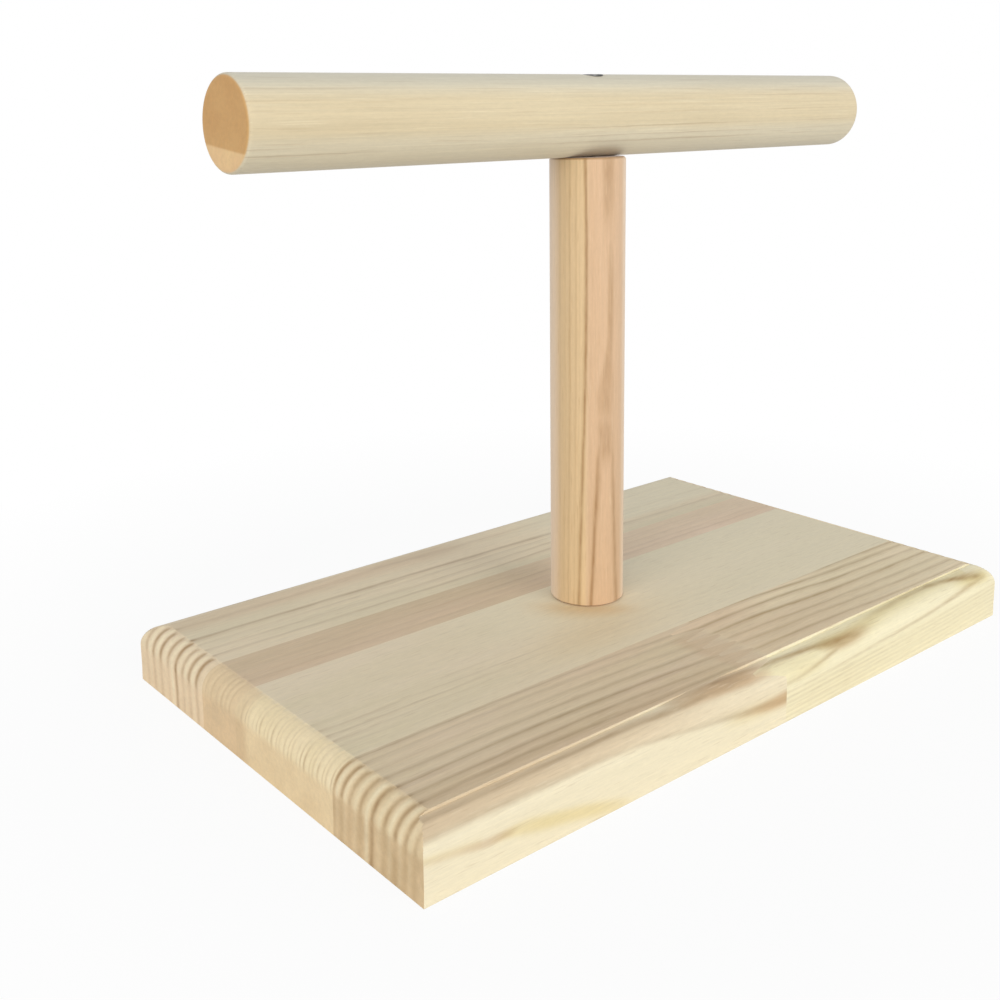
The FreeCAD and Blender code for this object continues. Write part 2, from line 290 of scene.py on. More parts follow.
# The board: five staves of pine glued edge to edge, rounded over at the top, in millimetres
staveFrontLow, staveFrontHigh = nodeBox("base_stave_front_left")
staveBackLow, staveBackHigh = nodeBox("base_stave_back")
rightLow = nodeBox("base_stave_front_right")[0]
board = {
    "left": staveBackLow[0],
    "right": staveBackHigh[0],
    "front": staveFrontLow[1],
    "back": staveBackHigh[1],
    "thickness": staveBackHigh[2],
    "edgeRadius": 5.5,
    "leftStep": 0.04,  # the cutter's small step where each rounding meets the top
    "rightStep": 0.08,
    "backStep": 0.08,
    # knots (x, step) of the front one, which waves along the board
    "frontStep": [
        (-100, 0.55), (-60, 0.55), (-48, 0.48), (-30, 0.36), (-21, 0.04), (-13, 0.05), (-6, 0.4), (2, 0.55),
        (8, 0.68), (26, 0.68), (36, 0.55), (45, 0.5), (62, 0.42), (72, 0.34), (84, 0.42), (100, 0.45),
    ],
    # how far past the rounding most of a step is climbed, all of it, and the first flat cell ends
    "lip": (0.05, 0.16, 0.5),
    "fingerPitch": 5.0,
    "fingerTip": 0.8,
    "fingerLeft": rightLow[0],
    "fingerRight": staveFrontHigh[0],
    "jointCellsFrom": (-14.0, 17.0),  # x from which the grids of the two jointed lengths bend to the fingers
    "jointCells": 24,
    "alongStep": 0.9,
    "acrossStep": 0.35,
    "endCells": 14,
    "frontCells": 26,
    "backCells": 14,
    "wallRows": 8,
    "frontWallRows": 30,
    "sawnReach": (6.3, 4.5),  # sawn end grain starts this far in from an end and is full from there out
    # waves of that limit along y, in mm and radians per mm: two multiplied, and a finer one
    "scallops": (0.4, 1.9, 0.7, 0.2, 4.3),
    # starting the front a little above the rounding also paints its lip in the front's paler tone, a painted
    # highlight line
    "frontFrom": (-0.16, -0.08),  # down from the inner edge of its rounding, where the front's figure sets in
    "seamGap": 0.6,  # the ribs of an end stop this far from a glue line
    "flatEnd": (8.4, 10.6),  # heights between which the flat of an end turns into its rounding
    "washboardStart": (3, 0),  # the washboard starts this far in from an end and is full from there out
    "washboardFoot": (0.5, 4),  # and fades out below, between these heights
    "washboardInset": 0.1,
    "ribWidth": 0.42,  # of a ridge or groove, as a share of their spread
    "ridgeShare": 0.8,  # how high a ridge is against its groove
    # between these distances left of the middle the rings on top come to show more, by this share
    "strongRings": (92.6, 94.2, 0.7),
    "bentRings": (46, 60),  # behind these places the rings wander, as in a plain-sawn board
    "wander": [(1.9, 23, 7, 0), (1.3, 11.3, -5, 1.0)],  # size, mm along x and z per radian, and phase
    "window": 6.0,  # half the side of the square of cells that the screw hole takes
    "hole": [(3.75, 0), (3.75, 0.9), (2.05, 2.6), (2.05, staveBackHigh[2])],  # radius and height, going up
}


# Height of the rounding at a distance in from its side: a quarter ellipse from the wall up to one step below
# the top, then the step's short lip
def edgeHeight(inset, step):
    radius, top = board["edgeRadius"], board["thickness"]
    turn = np.arccos(np.clip(1 - inset / radius, 0, 1))
    rounded = top - radius + (radius - step) * np.sin(turn)
    steep, climbed, _ = board["lip"]
    lip = np.interp(inset, [radius, radius + steep, radius + climbed], [0, 0.8, 1])
    return np.where(inset >= radius, top - step + step * lip, rounded)


# The front step along x: a smooth curve through its knots
def frontStep(x):
    return smoothLine(x, board["frontStep"])


# Heights that the two ends and the two long sides would give, and the surface is the lower one: a mitre
def endHeight(x):
    left = edgeHeight(x - board["left"], board["leftStep"])
    return np.minimum(left, edgeHeight(board["right"] - x, board["rightStep"]))


def sideHeight(x, y):
    front = edgeHeight(y - board["front"], frontStep(x))
    return np.minimum(front, edgeHeight(board["back"] - y, board["backStep"]))


# Places across a rounding: even turns of the quarter ellipse, then the lip
def roundingInsets(count):
    turns = np.linspace(0, np.pi / 2, count + 1)
    insets = board["edgeRadius"] * (1 - np.cos(turns))
    return np.concatenate([insets, board["edgeRadius"] + np.array(board["lip"])])


# Places along the board between two ends, with a rounding's own places at an end that has one
def alongPlaces(start, end, leftRounded, rightRounded):
    insets = roundingInsets(board["endCells"])
    head = board["left"] + insets if leftRounded else np.array([start])
    tail = board["right"] - insets[::-1] if rightRounded else np.array([end])
    return np.concatenate([head[:-1], evenly(head[-1], tail[0], board["alongStep"]), tail[1:]])


# Places across a stave, with a rounding's own places where it reaches the board's front or back
def acrossPlaces(front, back, frontCount, backCount):
    head = front + roundingInsets(frontCount) if frontCount else np.array([front])
    tail = back - roundingInsets(backCount)[::-1] if backCount else np.array([back])
    return np.concatenate([head[:-1], evenly(head[-1], tail[0], board["acrossStep"]), tail[1:]])


# The wall under one edge of a top surface: the edge's points with their height times 0 to 1
def wallUnder(edge, rows):
    share = np.linspace(0, 1, rows + 1)[:, None]
    return np.stack([edge[:, 0] + 0 * share, edge[:, 1] + 0 * share, edge[:, 2] * share], axis=-1)


# Closed shell of a stave whose top is a grid of x and y places: top, underside and four walls. A window
# (rows, columns) leaves the cells of a screw hole out of both.
def stavePatches(x, y, wallRows, window=None):
    top = np.stack([x, y, np.minimum(endHeight(x), sideHeight(x, y))], axis=-1)
    under = top * np.array([1, 1, 0])
    walls = [wallUnder(edge, wallRows) for edge in (top[0], top[-1], top[:, 0], top[:, -1])]
    if window is None:
        return [top, under] + walls
    return walls + aroundWindow(top, window) + aroundWindow(under, window)


# A grid without its window: the rows before it, those behind it, and the cells on either side of it
def aroundWindow(surface, window):
    row, lastRow, column, lastColumn = window
    across = surface[row:lastRow + 1]
    return [surface[:row + 1], surface[lastRow:], across[:, :column + 1], across[:, lastColumn:]]


# The closed line round a window of a grid
def windowRim(surface, window):
    row, lastRow, column, lastColumn = window
    return np.concatenate([
        surface[row:lastRow, column],
        surface[lastRow, column:lastColumn],
        surface[lastRow:row:-1, lastColumn],
        surface[row, lastColumn:column:-1],
        surface[row:row + 1, column],
    ])


boreRings = 5  # rings of points from a bore's circle out to the rim of its window


# A hole through a piece: from the window's rim in the lower surface straight in to the lowest circle, up the
# bore's circles (radius, height), and out from the highest circle to the rim in the upper surface
def boreThrough(rim, lowerSurface, bore, upperSurface):
    plan = rim[:, :2]
    outward = plan / np.linalg.norm(plan, axis=1, keepdims=True)
    circles = [
        np.column_stack([outward * np.reshape(radius, (-1, 1)), height + 0 * plan[:, 0]])
        for radius, height in bore
    ]

    def between(circle, surface):
        shares = np.linspace(0, 1, boreRings)
        rings = [plan * share + circle[:, :2] * (1 - share) for share in shares]
        return [np.column_stack([ring, surface(ring)]) for ring in rings]
    lower, upper = between(circles[0], lowerSurface), between(circles[-1], upperSurface)
    return np.stack(lower[::-1] + circles[1:-1] + upper)


# Distance across the growth rings. Each sheet of late wood is named by its place at x = 0 and drifts along
# the piece by its own knots, and between two sheets the distance grows evenly.
def ringDistance(across, along, sheets):
    named = [name for name, *_ in sheets]
    actual = [name + (smoothLine(along, *drift) if drift else 0 * along) for name, *drift in sheets]
    distance = named[0] + np.minimum(across - actual[0], 0) + np.maximum(across - actual[-1], 0)
    for near, far, start, end in zip(actual, actual[1:], named, named[1:]):
        distance = distance + np.clip((across - near) / (far - near), 0, 1) * (end - start)
    return distance


# A streak of figure. Along the piece it follows the knots of line, with strength and width on either side
# given at knots too, or as one width. A higher power makes it flatter in the middle with sharper sides.
def streak(line, strength, above, below, power=2):
    above, below = ([(0, width)] if np.isscalar(width) else width for width in (above, below))
    return {"line": line, "strength": strength, "above": above, "below": below, "power": power}


# Darkness of the streaks: the greatest of strength times e to the minus (distance over width) to the power
def streakDarkness(along, across, streaks):
    darkness = np.zeros_like(along)
    for one in streaks:
        away = across - smoothLine(along, one["line"])
        above = np.interp(along, *zip(*one["above"]))
        below = np.interp(along, *zip(*one["below"]))
        strength = np.interp(along, *zip(*one["strength"]), left=0, right=0)
        near = np.abs(away) / np.where(away < 0, above, below)
        darkness = np.maximum(darkness, strength * np.exp(-(near ** one["power"])))
    return darkness


# Distance down from the inner edge of the front rounding, round it and down the front face
def downFront(points):
    radius = board["edgeRadius"]
    inset = points[:, 1] - board["front"]
    turn = np.arccos(np.clip(1 - inset / radius, 0, 1))
    rounded = radius * (np.pi / 2 - turn)
    face = radius * np.pi / 2 + (board["thickness"] - radius - points[:, 2])
    return np.where(inset < 0.001, face, np.where(inset < radius, rounded, radius - inset))


# Ridges and grooves across a sawn end: each (centre, strength, share on the flat face) has its groove there
# and a ridge one spread further on, e to the minus squared distance over the rib's width
def combOf(place, rounded, grooves, spread):
    ridge, groove = np.zeros_like(place), np.zeros_like(place)
    width = board["ribWidth"] * spread
    for centre, strength, flatShare in grooves:
        here = strength * (flatShare + (1 - flatShare) * rounded)
        groove = np.maximum(groove, here * np.exp(-((place - centre) / width) ** 2))
        raised = board["ridgeShare"] * here
        ridge = np.maximum(ridge, raised * np.exp(-((place - centre - spread) / width) ** 2))
    return ridge - groove


# Painted glow: the upright's reflected warm light, painted as a tan tint on the board before its foot, in
# millimetres
footGlow = {
    "footRadius": nodeBox("post")[1][0],
    "reach": 6.6,
    "front": (7, 17),  # minus x and y together: it sets in at the first and is full at the second
    "wideShare": 0.38,
    "wideCentre": (-18, -20),
    "wideReach": (20, 9),
}


# Painted glow: e to the minus squared distance from the foot over the glow's reach, and a faint wide one
# further out
def paintedFootGlow(x, y):
    away = np.maximum(np.hypot(x, y) - footGlow["footRadius"], 0)
    near = np.exp(-(away / footGlow["reach"]) ** 2) * ease(-x - y, *footGlow["front"])
    (centreX, centreY), (reachX, reachY) = footGlow["wideCentre"], footGlow["wideReach"]
    wide = np.exp(-((x - centreX) / reachX) ** 2 - ((y - centreY) / reachY) ** 2)
    return np.maximum(near, footGlow["wideShare"] * wide)


# What each point of a stave needs to know: where it lies across the rings, whether it is sawn end grain, and
# what the front figure does there. The late wood leans through the thickness and wanders near the back face,
# by two sine waves of x and z. low and high are the stave's sides, where its ribs stop short of the glue.
# Thousandths and hundredths of a millimetre only tell a point on a face from one beside it.
def staveTraits(stave, low, high):
    def traits(points):
        x, y, z = points.T
        radius, top = board["edgeRadius"], board["thickness"]
        ends, sides = endHeight(x), sideHeight(x, y)
        outside = (x < board["left"] + 0.001) | (x > board["right"] - 0.001)
        onTop = (z > top - radius - 0.01) & (ends < sides - 0.004)
        inset = np.minimum(x - board["left"], board["right"] - x)
        coarse, quick, slow, fine, finest = board["scallops"]
        scallop = coarse * np.sin(quick * y) * np.sin(slow * y + 1) + fine * np.sin(finest * y)
        endGrain = np.where(outside, 1.0, np.where(onTop, ease(inset + scallop, *board["sawnReach"]), 0.0))
        lean = stave["lean"] * (top - z)
        wander = sum(size * np.sin(x / inX + z / inZ + phase) for size, inX, inZ, phase in board["wander"])
        ring = ringDistance(y + lean, x, stave["sheets"]) - wander * ease(y, *board["bentRings"])
        down = downFront(points)
        underside = (z < 0.01) & (y > board["front"] + 0.01)
        onFront = ease(down, *board["frontFrom"]) * (1 - endGrain) * np.where(underside, 0, 1)
        start, full, more = board["strongRings"]
        show = 1 + more * ease(-x, start, full)
        for xNone, xFull, yNone, yFull, share in stave["plain"]:
            show = show * (1 - share * (z > radius) * ease(x, xNone, xFull) * ease(y, yNone, yFull))
        # warm starts as the painted glow of the upright's reflected light, then takes the real warm tint of
        # the stave's warm zones
        warm = paintedFootGlow(x, y)
        for xNone, xFull, yNone, yFull, share in stave["warm"]:
            warm = np.maximum(warm, share * ease(x, xNone, xFull) * ease(y, yNone, yFull))
        warm = warm * (z > top - 0.1) * (1 - onFront)
        blushAndPaintedLight = np.maximum(onFront * streakDarkness(x, down, stave["blushes"]), warm)
        goldAndPaintedShade = onFront * streakDarkness(x, down, stave["golds"])
        for start, full in stave["endShades"]:
            goldAndPaintedShade = np.maximum(goldAndPaintedShade, endGrain * ease(y, start, full))
        rounded = ease(z, *board["flatEnd"])
        ribbed = rounded
        for start, full, share in stave["ribFades"]:
            ribbed = ribbed * (1 - share * ease(z, start, full))
        offSeam = ease(np.minimum(y - low, high - y), 0, board["seamGap"])
        return {
            "ring": ring,
            "ringShow": (1 - onFront) * show,
            "figure": onFront * streakDarkness(x, down, stave["streaks"]),
            "blushAndPaintedLight": blushAndPaintedLight,
            "goldAndPaintedShade": goldAndPaintedShade,
            "endGrain": endGrain,
            "raised": rounded,
            "comb": offSeam * endGrain * combOf(y + lean, ribbed, stave["grooves"], stave["spread"]),
        }
    return traits


# Washboard of the sawn ends: the points move inwards, at right angles to the rounding, by the inset less half
# the washboard's depth times the comb, and it fades out towards the underside
def endWashboard(stave):
    def dents(points, traits):
        x, _, z = points.T
        radius = board["edgeRadius"]
        inset = np.minimum(x - board["left"], board["right"] - x)
        share = np.maximum(traits["endGrain"], ease(inset, *board["washboardStart"]))
        centre = np.where(x < 0, board["left"] + radius, board["right"] - radius)
        away = np.column_stack([x - centre, 0 * x, z - (board["thickness"] - radius)])
        away[:, 2] = np.maximum(away[:, 2], 0)
        away /= np.maximum(np.linalg.norm(away, axis=1, keepdims=True), 0.001)
        depth = board["washboardInset"] - stave["washboard"] / 2 * traits["comb"]
        return -away * (depth * ease(z, *board["washboardFoot"]) * share)[:, None]
    return dents


# Tones and strengths that the pieces of pine share, and that each of them changes to its own
pineTones = {
    "fibres": "x",
    "wobble": 0.9,
    "lineFade": 0.5,
    "fibreLength": 55,
    "fleckLength": 150,
    "faceTone": (231, 219, 189),
    "lineTone": (160, 130, 96),
    "blushAndPaintedLightTone": (226, 213, 205),
    "goldAndPaintedShadeTone": (245, 239, 220),
    "fleckTone": (176, 148, 112),
    "paleFleckTone": (240, 228, 204),
    "fleckStart": 0.62,
    "fleckStrength": 0.22,
    "streaks": 0.045,
    "endTone": (240, 220, 180),
    "endOtherTone": (233, 212, 170),
    "endFlatTone": (232, 206, 166),
    "endFlatOtherTone": (224, 196, 156),
    "endLineTone": (158, 122, 78),
    "endRidgeAndHighlightTone": (250, 236, 200),
    "bumpDepth": 0.05,
    "roughness": 0.62,
    "sheen": 0.0,
}

# Each stave: lean of the rings through the thickness, depth of the washboard on the sawn ends, its grooves
# (y, strength, share on the flat) and their spread, sheets of late wood with their drift along x, plain zones
# of the top where the rings fade and warm zones that are tinted (x none to full, y none to full, share),
# heights where the ribs of an end fade (none, full, share) and places where it is shaded (y none, full), and
# the streaks of the front, whose places count down from the inner edge of its rounding
plainStave = {
    "plain": [],
    "warm": [],
    "ribFades": [],
    "endShades": [],
    "streaks": [],
    "blushes": [],
    "golds": [],
}
backStave = {
    **plainStave,
    "lean": 0.06,
    "washboard": 0.16,
    "spread": 1.9,
    "grooves": [
        (56.6, 0.4, 0.3), (52.8, 0.7, 0.3), (48.8, 0.7, 0.3), (44.6, 0.55, 0.25), (40.4, 0.85, 0.8),
        (36.6, 0.5, 0.3), (33.2, 0.65, 0.3), (29.4, 0.75, 0.4),
    ],
    "sheets": [
        (27.0,),
        (30.5, [(-100, -0.1), (0, 0), (45, 1.8), (75, 1.0), (100, 0.6)]),
        (34.4, [(-100, 0.2), (0, 0), (45, 1.6), (100, 1.0)]),
        (38.2,),
        (41.0, [(-100, 1.0), (-50, 0.5), (0, 0), (20, -0.5), (100, -1.2)]),
        (45.3,), (49.5,), (53.0,), (56.5,),
    ],
    "plain": [(12, 40, 33, 36, 0.8)],
    "warm": [(2, -12, 44, 50, 0.4)],
    "look": dict(
        pineTones,
        ringSpan=(24.0, 66.0),
        lines=[
            (30.5, 0.42, 1.4, 0.9), (34.4, 0.3, 1.4, 0.8), (38.2, 0.2, 1.4, 0.8), (41.0, 0.62, 1.8, 1.2),
            (50.5, 0.26, 2.4, 1.6), (58.2, 0.45, 1.6, 1.0), (61.0, 0.5, 1.6, 1.0),
        ],
        earlyTone=(233, 214, 183),
        otherTone=(222, 207, 175),
        endTone=(238, 216, 182),
        endOtherTone=(232, 209, 174),
        endFlatTone=(240, 214, 178),
        endFlatOtherTone=(232, 206, 170),
    ),
}
roseStave = {
    **plainStave,
    "lean": -0.03,
    "washboard": 0.08,
    "spread": 0.9,
    "grooves": [
        (24.2, 0.12, 0), (21.4, 0.15, 0), (18.9, 0.12, 0), (16.6, 0.2, 0), (14.6, 0.22, 0), (12.6, 0.25, 0),
    ],
    "sheets": [(11.5,), (13.2,), (15.4,), (19.2, [(-100, 0.4), (0, 0), (100, -0.5)]), (22.6,)],
    "warm": [(35, -25, 0, 1, 1.0), (62, 84, 18.5, 14, 0.5)],
    "look": dict(
        pineTones,
        ringSpan=(8.0, 28.0),
        lines=[(13.2, 0.25, 1.8, 0.9), (15.8, 0.2, 1.5, 0.9), (19.2, 0.3, 1.6, 0.8), (22.6, 0.15, 1.6, 0.9)],
        earlyTone=(234, 208, 180),
        otherTone=(224, 201, 170),
        blushAndPaintedLightTone=(236, 235, 227),
        lineTone=(176, 144, 112),
        lineFade=0.1,
        endTone=(230, 204, 164),
        endOtherTone=(224, 198, 158),
        endFlatTone=(228, 198, 156),
        endFlatOtherTone=(218, 190, 150),
    ),
}
paleStave = {
    **plainStave,
    "lean": 0.04,
    "washboard": 0.1,
    "spread": 0.8,
    "grooves": [
        (7.4 - 1.66 * row - 0.3 * math.sin(row * 2.3), 0.2 + 0.012 * row + 0.12 * math.sin(row * 1.7), 0)
        for row in range(23)
    ],
    "sheets": [(-27.0,), (-24.5,), (-22.0,), (-19.6,), (-17.0,), (-13.8,), (-10.0,), (-5.0,), (1.0,), (6.5,)],
    "plain": [(-55, -15, -60, -59, 0.75)],
    "ribFades": [(11.5, 14.6, 0.7)],
    "endShades": [(3.5, 7.5)],
    "look": dict(
        pineTones,
        ringSpan=(-32.0, 12.0),
        lines=[
            (-27.0, 0.12, 1.2, 0.7), (-24.5, 0.14, 1.2, 0.7), (-22.0, 0.25, 1.2, 0.6),
            (-19.6, 0.28, 1.1, 0.6), (-17.0, 0.28, 1.1, 0.6), (-13.8, 0.2, 1.2, 0.6),
            (-10.0, 0.15, 1.4, 0.6),
        ],
        wobble=1.9,
        lineFade=-0.2,
        earlyTone=(230, 213, 183),
        otherTone=(222, 207, 173),
        # this stave's blush tint is only the painted glow of the upright's reflected light
        blushAndPaintedLightTone=(242, 224, 200),
        goldAndPaintedShadeTone=(239, 233, 229),
        streaks=0.03,
        endTone=(246, 226, 186),
        endOtherTone=(240, 220, 178),
        endFlatTone=(238, 213, 170),
        endFlatOtherTone=(231, 205, 162),
    ),
}
frontLeftStave = {
    **plainStave,
    "lean": -0.05,
    "washboard": 0.16,
    "spread": 1.7,
    "grooves": [
        (-57.8, 0.4, 0.4), (-54.8, 0.6, 0.25), (-51.6, 0.7, 0.3), (-48.0, 0.55, 0.25), (-44.0, 0.85, 0.75),
        (-40.0, 0.5, 0.3), (-36.4, 0.55, 0.25), (-33.6, 0.7, 0.15), (-30.6, 0.8, 0.3),
    ],
    "sheets": [
        (-60.0,), (-55.5,),
        (-52.0, [(-100, 0.4), (-50, 0.2), (-35, -0.6), (0, -2.2)]),
        (-49.0, [(-100, 0.5), (-35, 0), (-15, -1.3), (0, -2.4)]),
        (-44.7, [(-100, 0), (-50, 0.1), (-30, -0.6), (-10, -1.9), (0, -2.6)]),
        (-40.7, [(-100, 0.1), (-50, 0), (-30, -0.8), (-12, -1.9), (0, -2.5)]),
        (-37.1, [(-100, 0.1), (-50, -0.1), (-30, -0.9), (0, -2.4)]),
        (-33.5, [(-100, 0), (-50, -0.1), (-30, -0.8), (0, -2.4)]),
        (-30.8, [(-100, 0), (-35, -0.3), (0, -2.2)]),
    ],
    "plain": [(-7, -2, -34, -37, 0.9)],
    "warm": [(2, -12, -42, -53, 0.3), (-8, -3, -33, -37, 0.7)],
    "streaks": [
        streak(
            [
                (-101, 5.0), (-72, 5.2), (-59, 5.5), (-46, 6.1), (-33, 7.5), (-25, 8.7), (-17, 9.7),
                (-9, 10.8), (-1, 11.5), (7, 12.2),
            ],
            [(-100, 0.3), (-75, 0.36), (-55, 0.3), (-20, 0.34), (-9, 0.36), (6, 0.25)],
            [(-100, 0.9), (-40, 0.7), (-10, 1.0), (6, 1.0)],
            [(-100, 0.95), (-72, 0.95), (-55, 0.6), (-20, 0.6), (-8, 0.9)],
        ),
        streak(
            [(-101, 1.6), (-60, 1.65), (-50, 1.75), (-40, 2.1), (-30, 2.9), (-20, 3.2), (-14, 3.5)],
            [
                (-99, 0.4), (-80, 0.34), (-70, 0.4), (-60, 0.5), (-50, 0.66), (-40, 0.5), (-30, 0.6),
                (-20, 0.45), (-14, 0),
            ],
            [(-99, 0.75), (-50, 0.75), (-38, 1.1), (-30, 1.5)], [(-99, 0.55), (-30, 0.6)],
        ),
        streak(
            [(-34, 1.7), (-20, 1.8), (-12, 2.0), (-4, 2.4), (4, 2.7)],
            [(-36, 0), (-29, 0.3), (-20, 0.36), (-12, 0.46), (-8, 0.32), (-4, 0.2), (0, 0.14), (4, 0)],
            [(-34, 1.4), (-20, 2.2), (-4, 1.8)], [(-34, 1.4), (-20, 2.3), (-12, 2.7), (-4, 2.2)], 4,
        ),
        streak(
            [(-22, 0.7), (-14, 1.1), (-6, 1.3), (3, 1.7)],
            [(-22, 0), (-16, 0.6), (-7, 0.66), (-1, 0.3), (3, 0)], 0.7, 0.8,
        ),
        streak(
            [(-101, 9.0), (-92, 10.3), (-86, 11.2), (-80, 11.4), (-76, 11.1)],
            [(-100, 0.05), (-93, 0.08), (-86, 0.2), (-80, 0.2), (-76, 0)], 0.7, 0.6,
        ),
        streak([(-9, 10.9), (0, 11.4), (7, 11.4)], [(-9, 0), (-3, 0.08), (6, 0.12)], 1.4, 1.3, 4),
    ],
    "blushes": [
        streak(
            [(-101, 2.3), (-72, 2.4), (-59, 2.8), (-46, 3.2), (-33, 4.4), (-20, 6.0), (-5, 7.6), (7, 8.2)],
            [
                (-100, 0.66), (-72, 0.62), (-55, 0.56), (-46, 0.52), (-33, 0.44), (-20, 0.3), (-12, 0.24),
                (6, 0.14),
            ],
            [(-100, 3.2), (-46, 3.8), (-33, 3.8), (6, 3.4)],
            [(-100, 2.9), (-60, 2.9), (-20, 3.0), (6, 3.4)], 5,
        ),
        streak(
            [(-32, 2.0), (-20, 2.2), (-12, 2.4), (-4, 2.7), (7, 2.9)],
            [(-34, 0), (-27, 0.6), (-17, 0.9), (-6, 0.95), (0, 0.6), (5, 0.3)], 2.9, 2.5, 4,
        ),
        streak(
            [(-14, 10.6), (-8, 10.9), (-1, 11.7), (7, 11.8)],
            [(-14, 0), (-9, 0.35), (-2, 0.8), (3, 0.95), (6, 0.95)], [(-12, 0.9), (5, 2.0)],
            [(-12, 0.9), (5, 1.9)], 3,
        ),
        streak(
            [(-101, 9.2), (-92, 10.2), (-86, 11.1), (-79, 11.3)],
            [(-100, 0.12), (-93, 0.2), (-86, 0.5), (-81, 0.5), (-77, 0)], 1.0, 0.9, 3,
        ),
    ],
    "golds": [
        streak(
            [(-84, 11.2), (-77, 11.6), (-70, 12.9), (-60, 14.8), (-55, 16.0), (-50, 17.3), (-42, 20)],
            [(-85, 0), (-79, 0.7), (-70, 0.9), (-56, 0.85), (-50, 0.6), (-43, 0)],
            [(-82, 0.9), (-74, 1.7), (-46, 1.6)], [(-82, 0.9), (-74, 1.8), (-46, 1.6)], 3,
        ),
        streak([(-101, 8.6), (-92, 9.8), (-86, 10.4)], [(-100, 0.4), (-86, 0.25)], 0.9, 0.9),
        streak(
            [(-16, 10.6), (-8, 11.4), (7, 12.0)], [(-18, 0), (-12, 0.35), (-4, 0.45), (6, 0.3)], 1.9, 2.0, 3,
        ),
    ],
    "look": dict(
        pineTones,
        ringSpan=(-62.0, -28.0),
        lines=[
            (-52.0, 0.6, 1.7, 1.1), (-49.0, 0.5, 1.5, 1.0), (-44.7, 0.75, 1.8, 1.1), (-40.7, 0.55, 1.8, 1.1),
            (-37.1, 0.35, 1.6, 1.0), (-33.5, 0.3, 1.5, 1.0), (-30.8, 0.5, 1.3, 0.9),
        ],
        earlyTone=(224, 202, 172),
        otherTone=(216, 199, 162),
        lineTone=(148, 120, 84),
        blushAndPaintedLightTone=(226, 204, 188),
        goldAndPaintedShadeTone=(245, 237, 206),
        endTone=(232, 208, 168),
        endOtherTone=(224, 200, 158),
        endFlatTone=(222, 194, 152),
        endFlatOtherTone=(204, 176, 134),
    ),
}
fineRings = [  # fine ring lines low on the front of the right length: place at its left end, and strength
    (12.4, 0.24), (13.6, 0.26), (14.7, 0.2), (15.8, 0.24), (17.0, 0.2), (18.2, 0.2), (19.5, 0.2), (20.8, 0.2),
]
